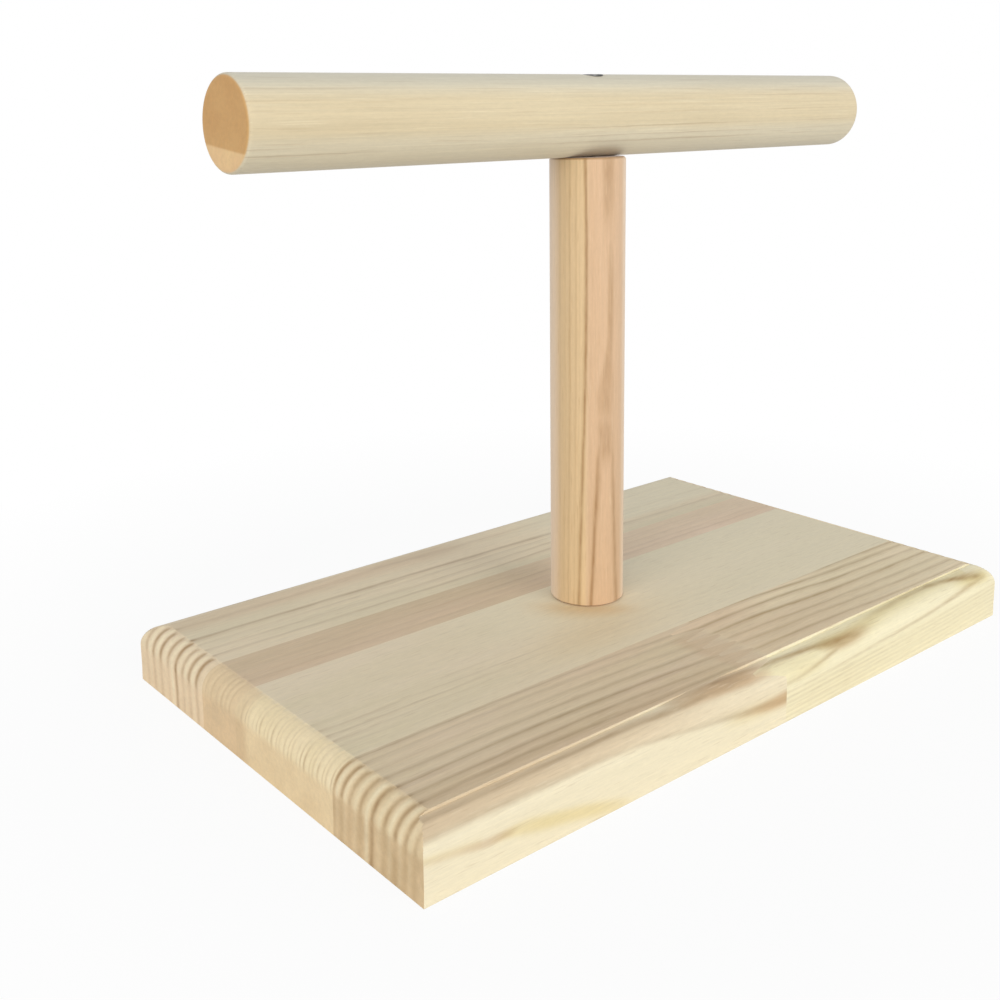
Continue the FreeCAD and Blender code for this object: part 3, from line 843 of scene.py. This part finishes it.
frontRightStave = {
    **plainStave,
    "lean": -0.05,
    "washboard": 0.16,
    "spread": 1.7,
    "grooves": [
        (-57.8, 0.5, 0.3), (-54.0, 0.6, 0.3), (-50.4, 0.6, 0.3), (-46.6, 0.7, 0.3), (-42.4, 0.7, 0.5),
        (-38.6, 0.7, 0.3), (-34.8, 0.7, 0.3), (-31.0, 0.7, 0.3),
    ],
    "sheets": [
        (-60.0,), (-55.0,),
        (-50.7, [(0, 0), (30, -0.5), (45, -1.5), (65, -2.4), (100, -2.7)]),
        (-46.0, [(0, 0), (20, -1.0), (40, -1.8), (60, -2.8), (75, -3.4), (100, -3.6)]),
        (-38.5, [(0, 0), (25, -0.3), (40, -1.7), (55, -2.5), (70, -2.9), (100, -3.1)]),
        (-34.1, [(0, 0), (25, -0.2), (40, -0.8), (55, -2.4), (75, -3.3), (100, -4.1)]),
        (-29.8, [(0, 0), (25, -0.4), (40, -1.5), (60, -3.2), (100, -4.4)]),
        (-27.4, [(0, 0), (50, -2.1), (65, -2.6), (100, -3.6)]),
    ],
    "plain": [(7, 3, -34, -37, 0.9)],
    "warm": [(90, 25, -35, -43, 0.4), (7.5, 3, -33, -37, 0.85), (36, 16, -28, -31, 0.4)],
    "streaks": [
        streak(
            [
                (-4, 1.2), (3, 1.65), (8, 1.9), (12, 2.25), (17, 2.6), (22, 3.4), (28, 4.1), (34, 4.4),
                (46, 3.6),
            ],
            [
                (-3, 0.55), (3, 0.7), (8, 0.74), (17, 0.68), (22, 0.7), (28, 0.8), (34, 0.62), (40, 0.2),
                (46, 0),
            ],
            [(0, 0.5), (4, 0.6), (12, 0.85), (22, 1.2), (28, 1.5), (36, 1.7), (46, 1.6)],
            [(0, 1.2), (5, 1.1), (12, 0.75), (19, 0.7), (24, 1.3), (28, 1.7), (36, 1.6), (46, 1.0)],
        ),
        streak(
            [
                (38, 2.6), (44, 1.9), (50, 1.5), (62, 1.0), (70, 1.0), (77, 1.5), (82, 2.2), (87, 3.1),
                (92, 4.0), (97, 4.7),
            ],
            [(38, 0), (44, 0.2), (55, 0.38), (70, 0.54), (82, 0.78), (92, 0.64), (97, 0)],
            [(40, 0.7), (55, 0.8), (70, 1.1), (80, 0.8), (92, 1.8)],
            [(40, 1.0), (55, 0.8), (70, 0.8), (82, 0.85), (92, 1.6)],
        ),
        streak(
            [
                (4, 10.9), (13, 10.9), (33, 10.0), (42, 9.5), (52, 9.0), (65, 8.2), (78, 7.0), (87, 6.0),
                (95, 5.2),
            ],
            [(5, 0.2), (35, 0.26), (60, 0.36), (80, 0.5), (88, 0.55), (94, 0.4), (97, 0)],
            [(5, 0.4), (84, 0.7), (95, 1.3)], [(5, 0.35), (84, 0.6), (95, 1.0)],
        ),
        streak(
            [(4, 8.8), (12, 8.1), (17, 7.4), (22, 6.6), (28, 5.6)],
            [(5, 0.25), (12, 0.3), (22, 0.46), (26, 0.4), (30, 0)], 0.7, 0.55,
        ),
    ] + [
        streak(
            [(4, left), (40, left - 0.9), (70, left - 2.0), (101, left - 3.8)],
            [(5, strength * 0.8), (30, strength), (50, strength * 0.6), (100, strength * 0.7)], 0.42, 0.36,
        )
        for left, strength in fineRings
    ],
    "blushes": [
        streak([(20, 4.2), (30, 4.6), (40, 4.0)], [(20, 0), (27, 0.6), (35, 0.6), (42, 0)], 1.8, 1.8, 3),
        streak([(-5, 3.7), (5, 3.7)], [(-5, 0.9), (-1.5, 0.85), (1, 0.5), (3.5, 0)], 1.1, 1.2, 3),
    ],
    "golds": [
        streak(
            [(-6, 5.0), (4, 5.4), (12, 6.0), (24, 5.4)],
            [(-6, 0.3), (4, 0.35), (12, 0.45), (18, 0.4), (26, 0)], 3.4, 3.4, 4,
        ),
        streak(
            [(20, 2.8), (32, 3.2), (50, 1.8), (90, 1.4)],
            [(14, 0), (24, 0.8), (50, 0.7), (70, 0.5), (90, 0.5)], [(20, 1.8), (50, 1.8)],
            [(20, 3.0), (50, 2.6), (90, 2.2)],
        ),
        streak([(82, 3.6), (90, 4.6), (98, 5)], [(78, 0), (88, 0.9), (96, 0.8), (99, 0)], 1.8, 2.0),
        streak([(4, 13), (50, 12.6), (101, 11)], [(5, 0.1), (30, 0.15), (100, 0.1)], 3.0, 6.0, 4),
    ],
    "look": dict(
        pineTones,
        ringSpan=(-62.0, -26.0),
        lines=[
            (-50.7, 0.58, 1.8, 1.1), (-46.0, 0.62, 1.8, 1.1), (-42.6, 0.42, 1.5, 0.9),
            (-38.5, 0.74, 1.7, 1.0), (-34.1, 0.66, 1.7, 1.1), (-29.8, 0.7, 1.6, 1.0),
            (-27.4, 0.76, 1.3, 0.9),
        ],
        earlyTone=(240, 220, 186),
        otherTone=(230, 213, 177),
        lineFade=0.6,
        faceTone=(236, 226, 192),
        lineTone=(158, 126, 76),
        blushAndPaintedLightTone=(230, 214, 210),
        goldAndPaintedShadeTone=(238, 231, 202),
    ),
}


# The zigzag line of the finger joint: its x at each y, straight between the corners of the fingers
def fingerLine(y):
    pitch, tip = board["fingerPitch"], board["fingerTip"] / 2
    corners = [0, tip, pitch / 2 - tip, pitch / 2 + tip, pitch - tip, pitch]
    out, back = board["fingerRight"], board["fingerLeft"]
    return np.interp((y - board["front"]) % pitch, corners, [out, out, back, back, out, out])


# The y places at which that line has its corners, between the front and the back of a stave
def fingerCorners(front, back):
    pitch, tip = board["fingerPitch"], board["fingerTip"] / 2
    starts = np.arange(front, back - 0.01, pitch)[:, None]
    return (starts + np.array([0, tip, pitch / 2 - tip, pitch / 2 + tip, pitch - tip])).ravel()


# A level surface: the same height at every point of a ring
def level(height):
    return lambda ring: np.full(len(ring), float(height))


# A stave's places across, and for the two jointed lengths a grid whose columns end on the finger line
def buildStave(node, stave):
    low, high = nodeBox(node)
    frontCount = board["frontCells"] if low[1] < board["front"] + 0.01 else 0
    backCount = board["backCells"] if high[1] > board["back"] - 0.01 else 0
    across = acrossPlaces(low[1], high[1], frontCount, backCount)
    window = None
    if node.startswith("base_stave_front"):
        across = np.unique(np.round(np.concatenate([across, fingerCorners(low[1], high[1])]), 4))
        leftPart = node.endswith("left")
        if leftPart:
            bound = board["jointCellsFrom"][0]
            places = alongPlaces(low[0], bound, True, False)
        else:
            bound = board["jointCellsFrom"][1]
            places = alongPlaces(bound, high[0], False, True)
        x, y = np.meshgrid(places, across, indexing="ij")
        toJoint = np.linspace(0, 1, board["jointCells"])[:, None]
        joint = bound + (fingerLine(across) - bound) * toJoint
        jointY = across + 0 * toJoint
        if leftPart:
            x, y = np.concatenate([x[:-1], joint]), np.concatenate([y[:-1], jointY])
        else:
            x, y = np.concatenate([joint[::-1], x[1:]]), np.concatenate([jointY, y[1:]])
    else:
        x, y = np.meshgrid(alongPlaces(low[0], high[0], True, True), across, indexing="ij")
    patches = []
    if node == "base_stave_middle_front":
        rows = np.flatnonzero(np.abs(x[:, 0]) < board["window"])
        columns = np.flatnonzero(np.abs(y[0]) < board["window"])
        window = (rows[0], rows[-1], columns[0], columns[-1])
        rim = windowRim(np.stack([x, y], axis=-1), window)
        patches.append(boreThrough(rim, level(0), board["hole"], level(board["thickness"])))
    wallRows = board["frontWallRows"] if frontCount else board["wallRows"]
    patches += stavePatches(x, y, wallRows, window)
    material = pineMaterial(node.replace("base_stave", "pine"), stave["look"])
    traits = staveTraits(stave, low[1], high[1])
    makePiece("wood_" + node, patches, node, material, traits, endWashboard(stave))


buildStave("base_stave_back", backStave)
buildStave("base_stave_middle_back", roseStave)
buildStave("base_stave_middle_front", paleStave)
buildStave("base_stave_front_left", frontLeftStave)
buildStave("base_stave_front_right", frontRightStave)
print("board glued up")

# The upright dowel. Its late wood lies in sheets across the direction rings, bent by the knots along z.
postLow, postHigh = nodeBox("post")
upright = {
    "radius": postHigh[0],
    "foot": postLow[2],
    "top": postHigh[2],
    "ease": 0.5,
    "footHole": [(0, 45.55), (2.05, 39.5)],  # the blind holes' points: radius and height
    "topHole": [(2.05, 110.9), (0, 104.85)],
    "ringsTurn": -44.5,  # degrees from +X of the direction that crosses the rings
    # painted light across the view: where the painted gold shade and the painted pinker shade set in, and
    # where the right edge's painted rim highlight fades it
    "paintedGold": (-8.8, -6.2),  # a tone sets in between two places across the rings
    "paintedPinkShade": (-0.9, 0.9),
    "paintedRightRim": (8.2, 9.3, 0.9),  # and between these it loses a share
    "columns": 240,
    "heightStep": 1.0,
    "faceRing": 5,  # radius of a ring of cells in each end face
    "sheets": [
        (-9.0,), (-4.4, [(15, -0.4), (60, 0), (130, 0.1)]), (0.0, [(15, -0.6), (60, -0.2), (130, 0)]), (9.0,),
    ],
    "streaks": [
        streak(
            [(16, -1.96), (37, -1.47), (47, -1.17), (67, -0.6), (88, -0.25), (108, -0.2), (131, -0.5)],
            [(14, 0.6), (45, 0.64), (60, 0.74), (131, 0.85)], [(15, 0.55), (130, 0.5)],
            [(15, 0.4), (130, 0.32)],
        ),
        streak(
            [(16, 1.1), (26, 1.55), (37, 2.0), (47, 2.45), (55, 2.75), (62, 3.6)],
            [(14, 0.85), (37, 0.75), (50, 0.68), (57, 0.4), (62, 0)], [(15, 0.5), (60, 0.4)],
            [(15, 0.45), (35, 0.5), (50, 0.85), (60, 0.4)],
        ),
        streak(
            [(16, 7.6), (26, 7.25), (37, 6.95), (47, 6.65), (60, 6.4)],
            [(14, 0.75), (30, 0.65), (47, 0.5), (56, 0.3), (62, 0)], 0.5, 0.4,
        ),
        streak([(50, 4.6), (58, 4.8), (66, 4.4)], [(51, 0), (57, 0.42), (62, 0.4), (67, 0)], 1.9, 1.8, 4),
        streak(
            [(64, 4.7), (72, 4.6), (80, 5.3), (92, 5.7), (108, 5.7)],
            [(63, 0), (68, 0.4), (78, 0.38), (82, 0.42), (104, 0.35), (110, 0.12)],
            [(64, 1.8), (72, 2.0), (79, 1.2), (84, 0.7), (110, 0.8)],
            [(64, 1.6), (74, 1.9), (80, 0.9), (110, 0.7)], 4,
        ),
        streak(
            [(106, 5.4), (116, 5.2), (131, 5.1)],
            [(106, 0), (114, 0.22), (120, 0.45), (131, 0.48)], 1.5, 1.4, 4,
        ),
    ],
    "look": dict(
        pineTones,
        fibres="z",
        wobble=0.3,
        lineFade=0.55,
        ringSpan=(-10.0, 10.0),
        lines=[
            (-6.9, 0.2, 0.8, 0.5), (-5.6, 0.12, 0.6, 0.4), (-4.4, 0.32, 0.6, 0.4), (-2.8, 0.25, 0.6, 0.4),
            (-1.9, 0.12, 0.5, 0.3),
        ],
        earlyTone=(232, 206, 178),
        otherTone=(228, 202, 172),
        # tones of the painted shade across the upright
        blushAndPaintedLightTone=(232, 218, 202),
        goldAndPaintedShadeTone=(241, 234, 210),
        lineTone=(156, 116, 70),
        fleckTone=(190, 150, 106),
        paleFleckTone=(232, 206, 170),
        # the sawn ends are painted dark as painted shade: the top end shows only in the shaded wedge under
        # the crossbar
        endTone=(150, 112, 72),
        endOtherTone=(160, 122, 80),
        streaks=0.04,
        roughness=0.58,
        sheen=0.22,
    ),
}


# A turned shape: each (radius, height) of the profile carried once round the upright's axis
def turned(profile, columns):
    radius, height = np.array(profile, float).T
    angle = np.linspace(0, 2 * np.pi, columns + 1)
    around = [radius[:, None] * np.cos(angle), radius[:, None] * np.sin(angle), height[:, None] + 0 * angle]
    return np.stack(around, axis=-1)


# Painted light across the upright, along the direction that crosses its rings: past the left edge's painted
# rim highlight a gold tint sets in as painted shade, a pinker one takes over as painted shade on the right
# half, and that fades again by the right edge as a second painted rim highlight
def uprightTraits(points):
    x, y, z = points.T
    turn = math.radians(upright["ringsTurn"])
    across = x * math.cos(turn) + y * math.sin(turn)
    ring = ringDistance(across, z, upright["sheets"])
    sawn = ((z < upright["foot"] + 0.01) | (z > upright["top"] - 0.01)).astype(float)
    paintedPinkShade = ease(across, *upright["paintedPinkShade"])
    paintedGold = ease(across, *upright["paintedGold"]) * (1 - paintedPinkShade)
    start, end, share = upright["paintedRightRim"]
    paintedPinkShade = paintedPinkShade * (1 - share * ease(across, start, end))
    figure = streakDarkness(z, across, upright["streaks"])
    full = np.ones_like(x)
    return {
        "ring": ring, "ringShow": full, "figure": figure, "blushAndPaintedLight": paintedPinkShade, "goldAndPaintedShade": paintedGold, "endGrain": sawn,
        "raised": full,
    }


# Profile of the upright: down the hole in the foot, out, up the side and in, and down the hole in the top
def uprightProfile():
    foot, top, radius, edge = (upright[key] for key in ("foot", "top", "radius", "ease"))
    hole, ring = upright["footHole"][1][0], upright["faceRing"]
    side = [(radius, height) for height in evenly(foot + edge, top - edge, upright["heightStep"])]
    under = upright["footHole"] + [(hole, foot), (ring, foot), (radius - edge, foot)]
    return under + side + [(radius - edge, top), (ring, top), (hole, top)] + upright["topHole"]


postPatches = [turned(uprightProfile(), upright["columns"])]
postMaterial = pineMaterial("pine_post", upright["look"])
makePiece("wood_post", postPatches, "post", postMaterial, uprightTraits)

# The crossbar: a pale dowel with eased ends, bored and countersunk from the crown
perchLow, perchHigh = nodeBox("perch")
crossbar = {
    "half": perchHigh[0],
    "radius": (perchHigh[2] - perchLow[2]) / 2,
    "axis": (perchHigh[2] + perchLow[2]) / 2,
    "ease": 1.0,
    "holeRadius": 2.05,
    "sinkRadius": 3.75,
    "coneFoot": 147.8,  # height where the countersink's cone starts, and where it reaches the sink's radius
    "coneTop": 149.5,
    "columns": 160,
    "barrelRings": 249,
    "faceRings": 40,
    "easeRings": 6,
    "windowLength": 5.7,  # half of it, along the bar
    "windowColumns": 14,
    "sheets": [(-9.0, [(-100, 0), (100, 0.6)]), (0.0, [(-100, -0.4), (100, 0.5)]), (9.2,)],
    "faceMargin": 0.2,  # between the sawn face and the bar's skin
    "sawnFrom": (0.35, 0.05),  # how far in from an end its grain starts and is full
    "endSplit": -5.0,  # below this height from the axis the sawn end is paler
    "splitLean": 0.12,
    "splitBlur": 0.25,
    # the next two give the painted shading of the round bar: a warmer, darker band round the middle and a
    # cooler crown
    "paintedWarmBand": (1.2, 6.5, 2.5),  # its height, and how far off it the warm tone starts and is full
    "paintedCoolCrown": (5.5, 9),
    "look": dict(
        pineTones,
        wobble=0.5,
        lineFade=-0.6,
        fibreLength=20,
        fleckLength=50,
        ringSpan=(-11.0, 11.0),
        lines=[
            (-6.3, 0.5, 0.35, 0.2), (-4.8, 0.5, 0.3, 0.15), (-2.7, 0.55, 0.35, 0.15), (0.5, 0.3, 0.4, 0.2),
            (2.4, 0.3, 0.3, 0.15), (4.5, 0.6, 0.4, 0.2), (6.8, 0.4, 0.5, 0.2),
        ],
        earlyTone=(216, 205, 179),
        otherTone=(211, 199, 172),
        # tones of that painted warm band and painted cool crown
        blushAndPaintedLightTone=(250, 243, 230),
        goldAndPaintedShadeTone=(240, 244, 250),
        lineTone=(166, 138, 104),
        fleckTone=(184, 160, 126),
        paleFleckTone=(238, 228, 200),
        fleckStrength=0.26,
        streaks=0.05,
        endTone=(206, 160, 98),
        endOtherTone=(200, 152, 90),
        endFlatTone=(232, 195, 140),
        endFlatOtherTone=(226, 184, 134),
        sheen=0.14,
    ),
}


# The rings lie level in the bar. A warmer, darker band round its middle height and a cooler, greyer crown are
# painted shading for how the light falls on the round bar.
def crossbarTraits(points):
    x, y, z = points.T
    above = z - crossbar["axis"]
    ring = ringDistance(above, x, crossbar["sheets"])
    onFace = np.hypot(y, above) < crossbar["radius"] - crossbar["faceMargin"]
    none, full = crossbar["sawnFrom"]
    sawn = ease(np.abs(x), crossbar["half"] - none, crossbar["half"] - full) * onFace
    split, blur = crossbar["endSplit"], crossbar["splitBlur"]
    # the sawn end takes its paler tone below a line that tilts with y
    aboveSplit = ease(above - crossbar["splitLean"] * y, split - blur, split + blur)
    middle, start, full = crossbar["paintedWarmBand"]
    paintedWarmer = ease(np.abs(above - middle), start, full)
    paintedCooler = ease(above, *crossbar["paintedCoolCrown"]) * (1 - sawn)
    return {
        "ring": ring, "ringShow": np.ones_like(x), "blushAndPaintedLight": paintedWarmer, "goldAndPaintedShade": paintedCooler, "endGrain": sawn,
        "raised": aboveSplit,
    }


# Profile of the bar's left end: rings of the sawn face, then a quarter circle of the easing
def barEnd():
    radius, easing, half = crossbar["radius"], crossbar["ease"], crossbar["half"]
    face = [(-half, away) for away in np.linspace(0, radius - easing, crossbar["faceRings"])]
    turns = np.linspace(0, np.pi / 2, crossbar["easeRings"] + 1)[1:]
    inner, outer = -half + easing, radius - easing
    return face + [(inner - easing * math.cos(turn), outer + easing * math.sin(turn)) for turn in turns]


# Height of the bar's skin over or under each point: the axis plus or minus the root of radius^2 less y^2
def barSurface(side):
    return lambda ring: crossbar["axis"] + side * np.sqrt(crossbar["radius"] ** 2 - ring[:, 1] ** 2)


# The bar: its profile of (x, distance from the axis) carried once round the axis, with a window in the crown
# and one below for the screw hole
def crossbarPatches():
    radius, axis, half, easing = (crossbar[key] for key in ("radius", "axis", "half", "ease"))
    leftEnd = barEnd()
    barrel = [(x, radius) for x in np.linspace(-half + easing, half - easing, crossbar["barrelRings"])][1:-1]
    along, away = np.array(leftEnd + barrel + [(-x, r) for x, r in reversed(leftEnd)]).T
    angle = -np.pi / 2 + np.linspace(0, 2 * np.pi, crossbar["columns"] + 1)
    across, up = away[:, None] * np.sin(angle), axis + away[:, None] * np.cos(angle)
    surface = np.stack([along[:, None] + 0 * angle, across, up], axis=-1)
    inWindow = np.flatnonzero((np.abs(along) < crossbar["windowLength"]) & (away > radius - 0.001))
    row, lastRow = inWindow[0], inWindow[-1]
    crown, under, reach = crossbar["columns"] // 4, crossbar["columns"] * 3 // 4, crossbar["windowColumns"]
    middle = surface[row:lastRow + 1]
    patches = [
        surface[:row + 1], surface[lastRow:], middle[:, :crown - reach + 1],
        middle[:, crown + reach:under - reach + 1], middle[:, under + reach:],
    ]
    rim = windowRim(surface, (row, lastRow, crown - reach, crown + reach))
    # the lip is a sink's radius out, or where the cone meets the crown: at any radius the cone's height over
    # the axis is that radius + rise
    sink, hole = crossbar["sinkRadius"], crossbar["holeRadius"]
    rise = crossbar["coneTop"] - sink - axis
    spread = 1 + (rim[:, 1] / np.linalg.norm(rim[:, :2], axis=1)) ** 2
    lip = np.minimum(sink, (np.sqrt(rise**2 + spread * (radius**2 - rise**2)) - rise) / spread)
    bore = [(hole, 0), (hole, crossbar["coneFoot"]), (lip, axis + rise + lip), (lip, 0)]
    return patches + [boreThrough(rim, barSurface(-1), bore, barSurface(1))]


perchMaterial = pineMaterial("pine_perch", crossbar["look"])
makePiece("wood_perch", crossbarPatches(), "perch", perchMaterial, crossbarTraits)
print("dowels turned")

# Countersunk wood screws, head up at z = 0, point down
screw = {
    "length": 45.0,
    "headRadius": 3.7,
    "land": 0.4,
    "shankRadius": 2.0,
    "rootRadius": 1.35,
    "pitch": 1.8,
    "plainLength": 14.0,
    "pointLength": 6.0,
    "recessWidth": 1.2,
    "recessSpan": 4.4,
    "recessDepth": 2.0,
    "recessWall": 0.1,  # half the width over which its depth eases
    "recessTaper": (-0.15, 1.2),  # in from a slot's end: where the depth starts and is full
    "rimEase": 0.06,
    "faceRings": 40,
    "columns": 96,
    "threadStep": 0.15,
    "threadFade": 2.0,  # below the plain shank
    "crestShare": 0.32,  # of a turn, on either side of the thread's edge
    "tipGap": 0.05,
    "tipShare": 0.03,  # of the radius, at the point
    "darkTone": (74, 74, 74),
    "paleTone": (112, 112, 110),
    "roughness": (0.28, 0.45),
}


# Zinc-plated steel: metal whose roughness and tone vary by fine noise
def steelMaterial(name):
    material = bpy.data.materials.new(name)
    material.use_nodes = True
    tree = material.node_tree
    shader = tree.nodes["Principled BSDF"]
    place = addNode(tree, "ShaderNodeTexCoord").outputs["Object"]
    smear = grainNoise(tree, place, (700, 700, 700), 3.0, 0.6)
    share = remap(tree, smear, 0.35, 0.65, 0.0, 1.0)
    colour = mixColours(tree, share, tone(*screw["darkTone"]), tone(*screw["paleTone"]))
    tree.links.new(colour, shader.inputs["Base Color"])
    tree.links.new(remap(tree, smear, 0.3, 0.7, *screw["roughness"]), shader.inputs["Roughness"])
    shader.inputs["Metallic"].default_value = 1.0
    return material


# The head's face: rings of points whose depth is the cross recess, the deeper of two slots. A slot's depth
# eases from its walls and tapers towards its ends.
def headFace():
    radius = np.linspace(0, screw["headRadius"] - screw["rimEase"], screw["faceRings"])[:, None]
    angle = np.linspace(0, 2 * np.pi, screw["columns"] + 1)
    x, y = radius * np.cos(angle), radius * np.sin(angle)
    halfWidth, halfSpan, wall = screw["recessWidth"] / 2, screw["recessSpan"] / 2, screw["recessWall"]

    def slot(across, along):
        inside = ease(halfWidth - np.abs(across), -wall, wall)
        return inside * ease(halfSpan - np.abs(along), *screw["recessTaper"])
    depth = screw["recessDepth"] * np.maximum(slot(x, y), slot(y, x))
    return np.stack([x, y, -depth], axis=-1)


# Head's rim and cone, shank and thread: each height's radius carried round, where the thread's crest is a
# triangle wave of (turn + height / pitch), faded in below the plain shank and out to the point
def screwBody():
    land, head, shank, edge = screw["land"], screw["headRadius"], screw["shankRadius"], screw["rimEase"]
    threadTop, point = -screw["plainLength"], -screw["length"]
    shape = turned(
        [(head - edge, 0), (head, -edge), (head, -land), (shank, -land - (head - shank)), (shank, threadTop)],
        screw["columns"],
    )
    angle = np.linspace(0, 2 * np.pi, screw["columns"] + 1)
    z = evenly(threadTop, point + screw["tipGap"], screw["threadStep"])[1:, None]
    wave = (angle / (2 * np.pi) + z / screw["pitch"]) % 1
    crest = np.clip(1 - np.abs(wave - 0.5) / screw["crestShare"], 0, 1)
    taper = ease(z, point, point + screw["pointLength"])
    start = ease(-z, screw["plainLength"], screw["plainLength"] + screw["threadFade"])
    root = shank + (screw["rootRadius"] - shank) * start
    around = (root + (shank - root) * crest) * np.maximum(taper, screw["tipShare"])
    thread = np.stack([around * np.cos(angle), around * np.sin(angle), z + 0 * angle], axis=-1)
    tip = np.stack([0 * angle, 0 * angle, point + 0 * angle], axis=-1)[None]
    return np.concatenate([shape, thread, tip])


# One screw, its head's face at a height: pointing down, or turned over about X to point up
def buildScrew(node, headHeight, pointsDown):
    facing = np.array([1, 1, 1]) if pointsDown else np.array([1, -1, -1])
    patches = [patch * facing + np.array([0, 0, headHeight]) for patch in (headFace(), screwBody())]
    makePiece("steel_" + node, patches, node, steelMaterial("zinc_" + node))


buildScrew("perch_screw", nodeBox("perch_screw")[1][2], True)
buildScrew("base_screw", nodeBox("base_screw")[0][2], False)
print("screws driven")

# The stage: a floor that is white to the camera and shows a share of the object's shadow near it
stage = {
    "size": 4.0,  # metres
    "drop": 0.05,  # mm, under the board
    "shadowReach": (0.12, 0.24),  # metres from the middle, between which the shadow's share goes to nothing
    "shadowShare": 0.08,
    "floorTone": (236, 235, 232),
    "skyTone": (232, 238, 246),
    "skyLevel": 0.62,
}


# 1 for rays that come straight from the camera, or off or through gloss and glass
def seenDirectly(tree):
    path = addNode(tree, "ShaderNodeLightPath").outputs
    first = calculate(tree, "MAXIMUM", path["Is Camera Ray"], path["Is Glossy Ray"])
    return calculate(tree, "MAXIMUM", first, path["Is Transmission Ray"])


# Plain white to the camera, less the share of the shadow, and matt to all other rays
def floorMaterial():
    material = bpy.data.materials.new("studio_floor")
    material.use_nodes = True
    tree = material.node_tree
    tree.nodes.remove(tree.nodes["Principled BSDF"])
    matt = addNode(tree, "ShaderNodeBsdfDiffuse", {"Color": tone(*stage["floorTone"])}).outputs[0]
    white = addNode(tree, "ShaderNodeEmission", {"Color": (1, 1, 1, 1), "Strength": 1.0}).outputs[0]
    place = addNode(tree, "ShaderNodeTexCoord").outputs["Object"]
    away = addNode(tree, "ShaderNodeVectorMath", {0: place}, operation="LENGTH").outputs["Value"]
    near, far = stage["shadowReach"]
    shadowShare = remap(tree, away, near, far, stage["shadowShare"], 0.0)
    seen = seenDirectly(tree)
    whiteShare = calculate(tree, "MULTIPLY", seen, calculate(tree, "SUBTRACT", 1.0, shadowShare))
    mixed = addNode(tree, "ShaderNodeMixShader", {0: whiteShare, 1: matt, 2: white}).outputs[0]
    tree.links.new(mixed, tree.nodes["Material Output"].inputs["Surface"])
    return material


reach = stage["size"] / 2
floorCorners = [(-reach, -reach, 0), (reach, -reach, 0), (reach, reach, 0), (-reach, reach, 0)]
floorMesh = bpy.data.meshes.new("floor")
floorMesh.from_pydata(floorCorners, [], [(0, 1, 2, 3)])
floorMesh.materials.append(floorMaterial())
floor = bpy.data.objects.new("floor", floorMesh)
floor.location.z = -stage["drop"] * mm
scene.collection.objects.link(floor)

world = bpy.data.worlds.new("studio")
scene.world = world
world.use_nodes = True
sky = world.node_tree
sky.nodes.clear()
skyLook = {"Color": tone(*stage["skyTone"]), "Strength": stage["skyLevel"]}
ambient = addNode(sky, "ShaderNodeBackground", skyLook).outputs[0]
backdrop = addNode(sky, "ShaderNodeBackground", {"Color": (1, 1, 1, 1), "Strength": 1.0}).outputs[0]
blend = addNode(sky, "ShaderNodeMixShader", {0: seenDirectly(sky), 1: ambient, 2: backdrop}).outputs[0]
addNode(sky, "ShaderNodeOutputWorld", {"Surface": blend})

lamps = [
    {"name": "key", "from": (0.4, -2.4, 0.66), "size": 1.6, "watts": 31.0, "tone": (255, 253, 248)},
    {"name": "side", "from": (-2.2, -1.0, 0.94), "size": 1.6, "watts": 25.5, "tone": (255, 250, 240)},
]
aim = Vector((0, 0, 0.06))  # metres
for lamp in lamps:
    light = bpy.data.lights.new(lamp["name"], "AREA")
    light.size = lamp["size"]
    light.energy = lamp["watts"]
    light.color = tone(*lamp["tone"])[:3]
    holder = bpy.data.objects.new(lamp["name"], light)
    holder.location = lamp["from"]
    holder.rotation_euler = (aim - Vector(lamp["from"])).to_track_quat("-Z", "Y").to_euler()
    scene.collection.objects.link(holder)

# The camera: it looks at the target from a bearing, an elevation and a distance, in degrees and millimetres
view = {
    "azimuth": -38.248,
    "elevation": 10.828,
    "roll": -1.086,
    "target": (-43.073, 0.0, 87.918),
    "distance": 284.063,
    "lens": 43.757,
    "sensor": 36.0,
    "clip": (0.01, 20.0),  # metres
    "shift": (0.04487, -0.15459),
}
azimuth, elevation, roll = (math.radians(view[key]) for key in ("azimuth", "elevation", "roll"))
outwards = math.cos(elevation)
back = Vector((math.sin(azimuth) * outwards, -math.cos(azimuth) * outwards, math.sin(elevation)))
right = (-back).cross(Vector((0, 0, 1))).normalized()
up = right.cross(-back)
tilted = (math.cos(roll) * right + math.sin(roll) * up, -math.sin(roll) * right + math.cos(roll) * up, back)
cameraData = bpy.data.cameras.new("camera")
cameraData.sensor_width = view["sensor"]
cameraData.lens = view["lens"]
cameraData.shift_x, cameraData.shift_y = view["shift"]
cameraData.clip_start, cameraData.clip_end = view["clip"]
camera = bpy.data.objects.new("camera", cameraData)
place = (Vector(view["target"]) + back * view["distance"]) * mm
camera.matrix_world = Matrix.Translation(place) @ Matrix(tilted).transposed().to_4x4()
scene.collection.objects.link(camera)
scene.camera = camera
scene.view_settings.view_transform = "Standard"
print("stage set")
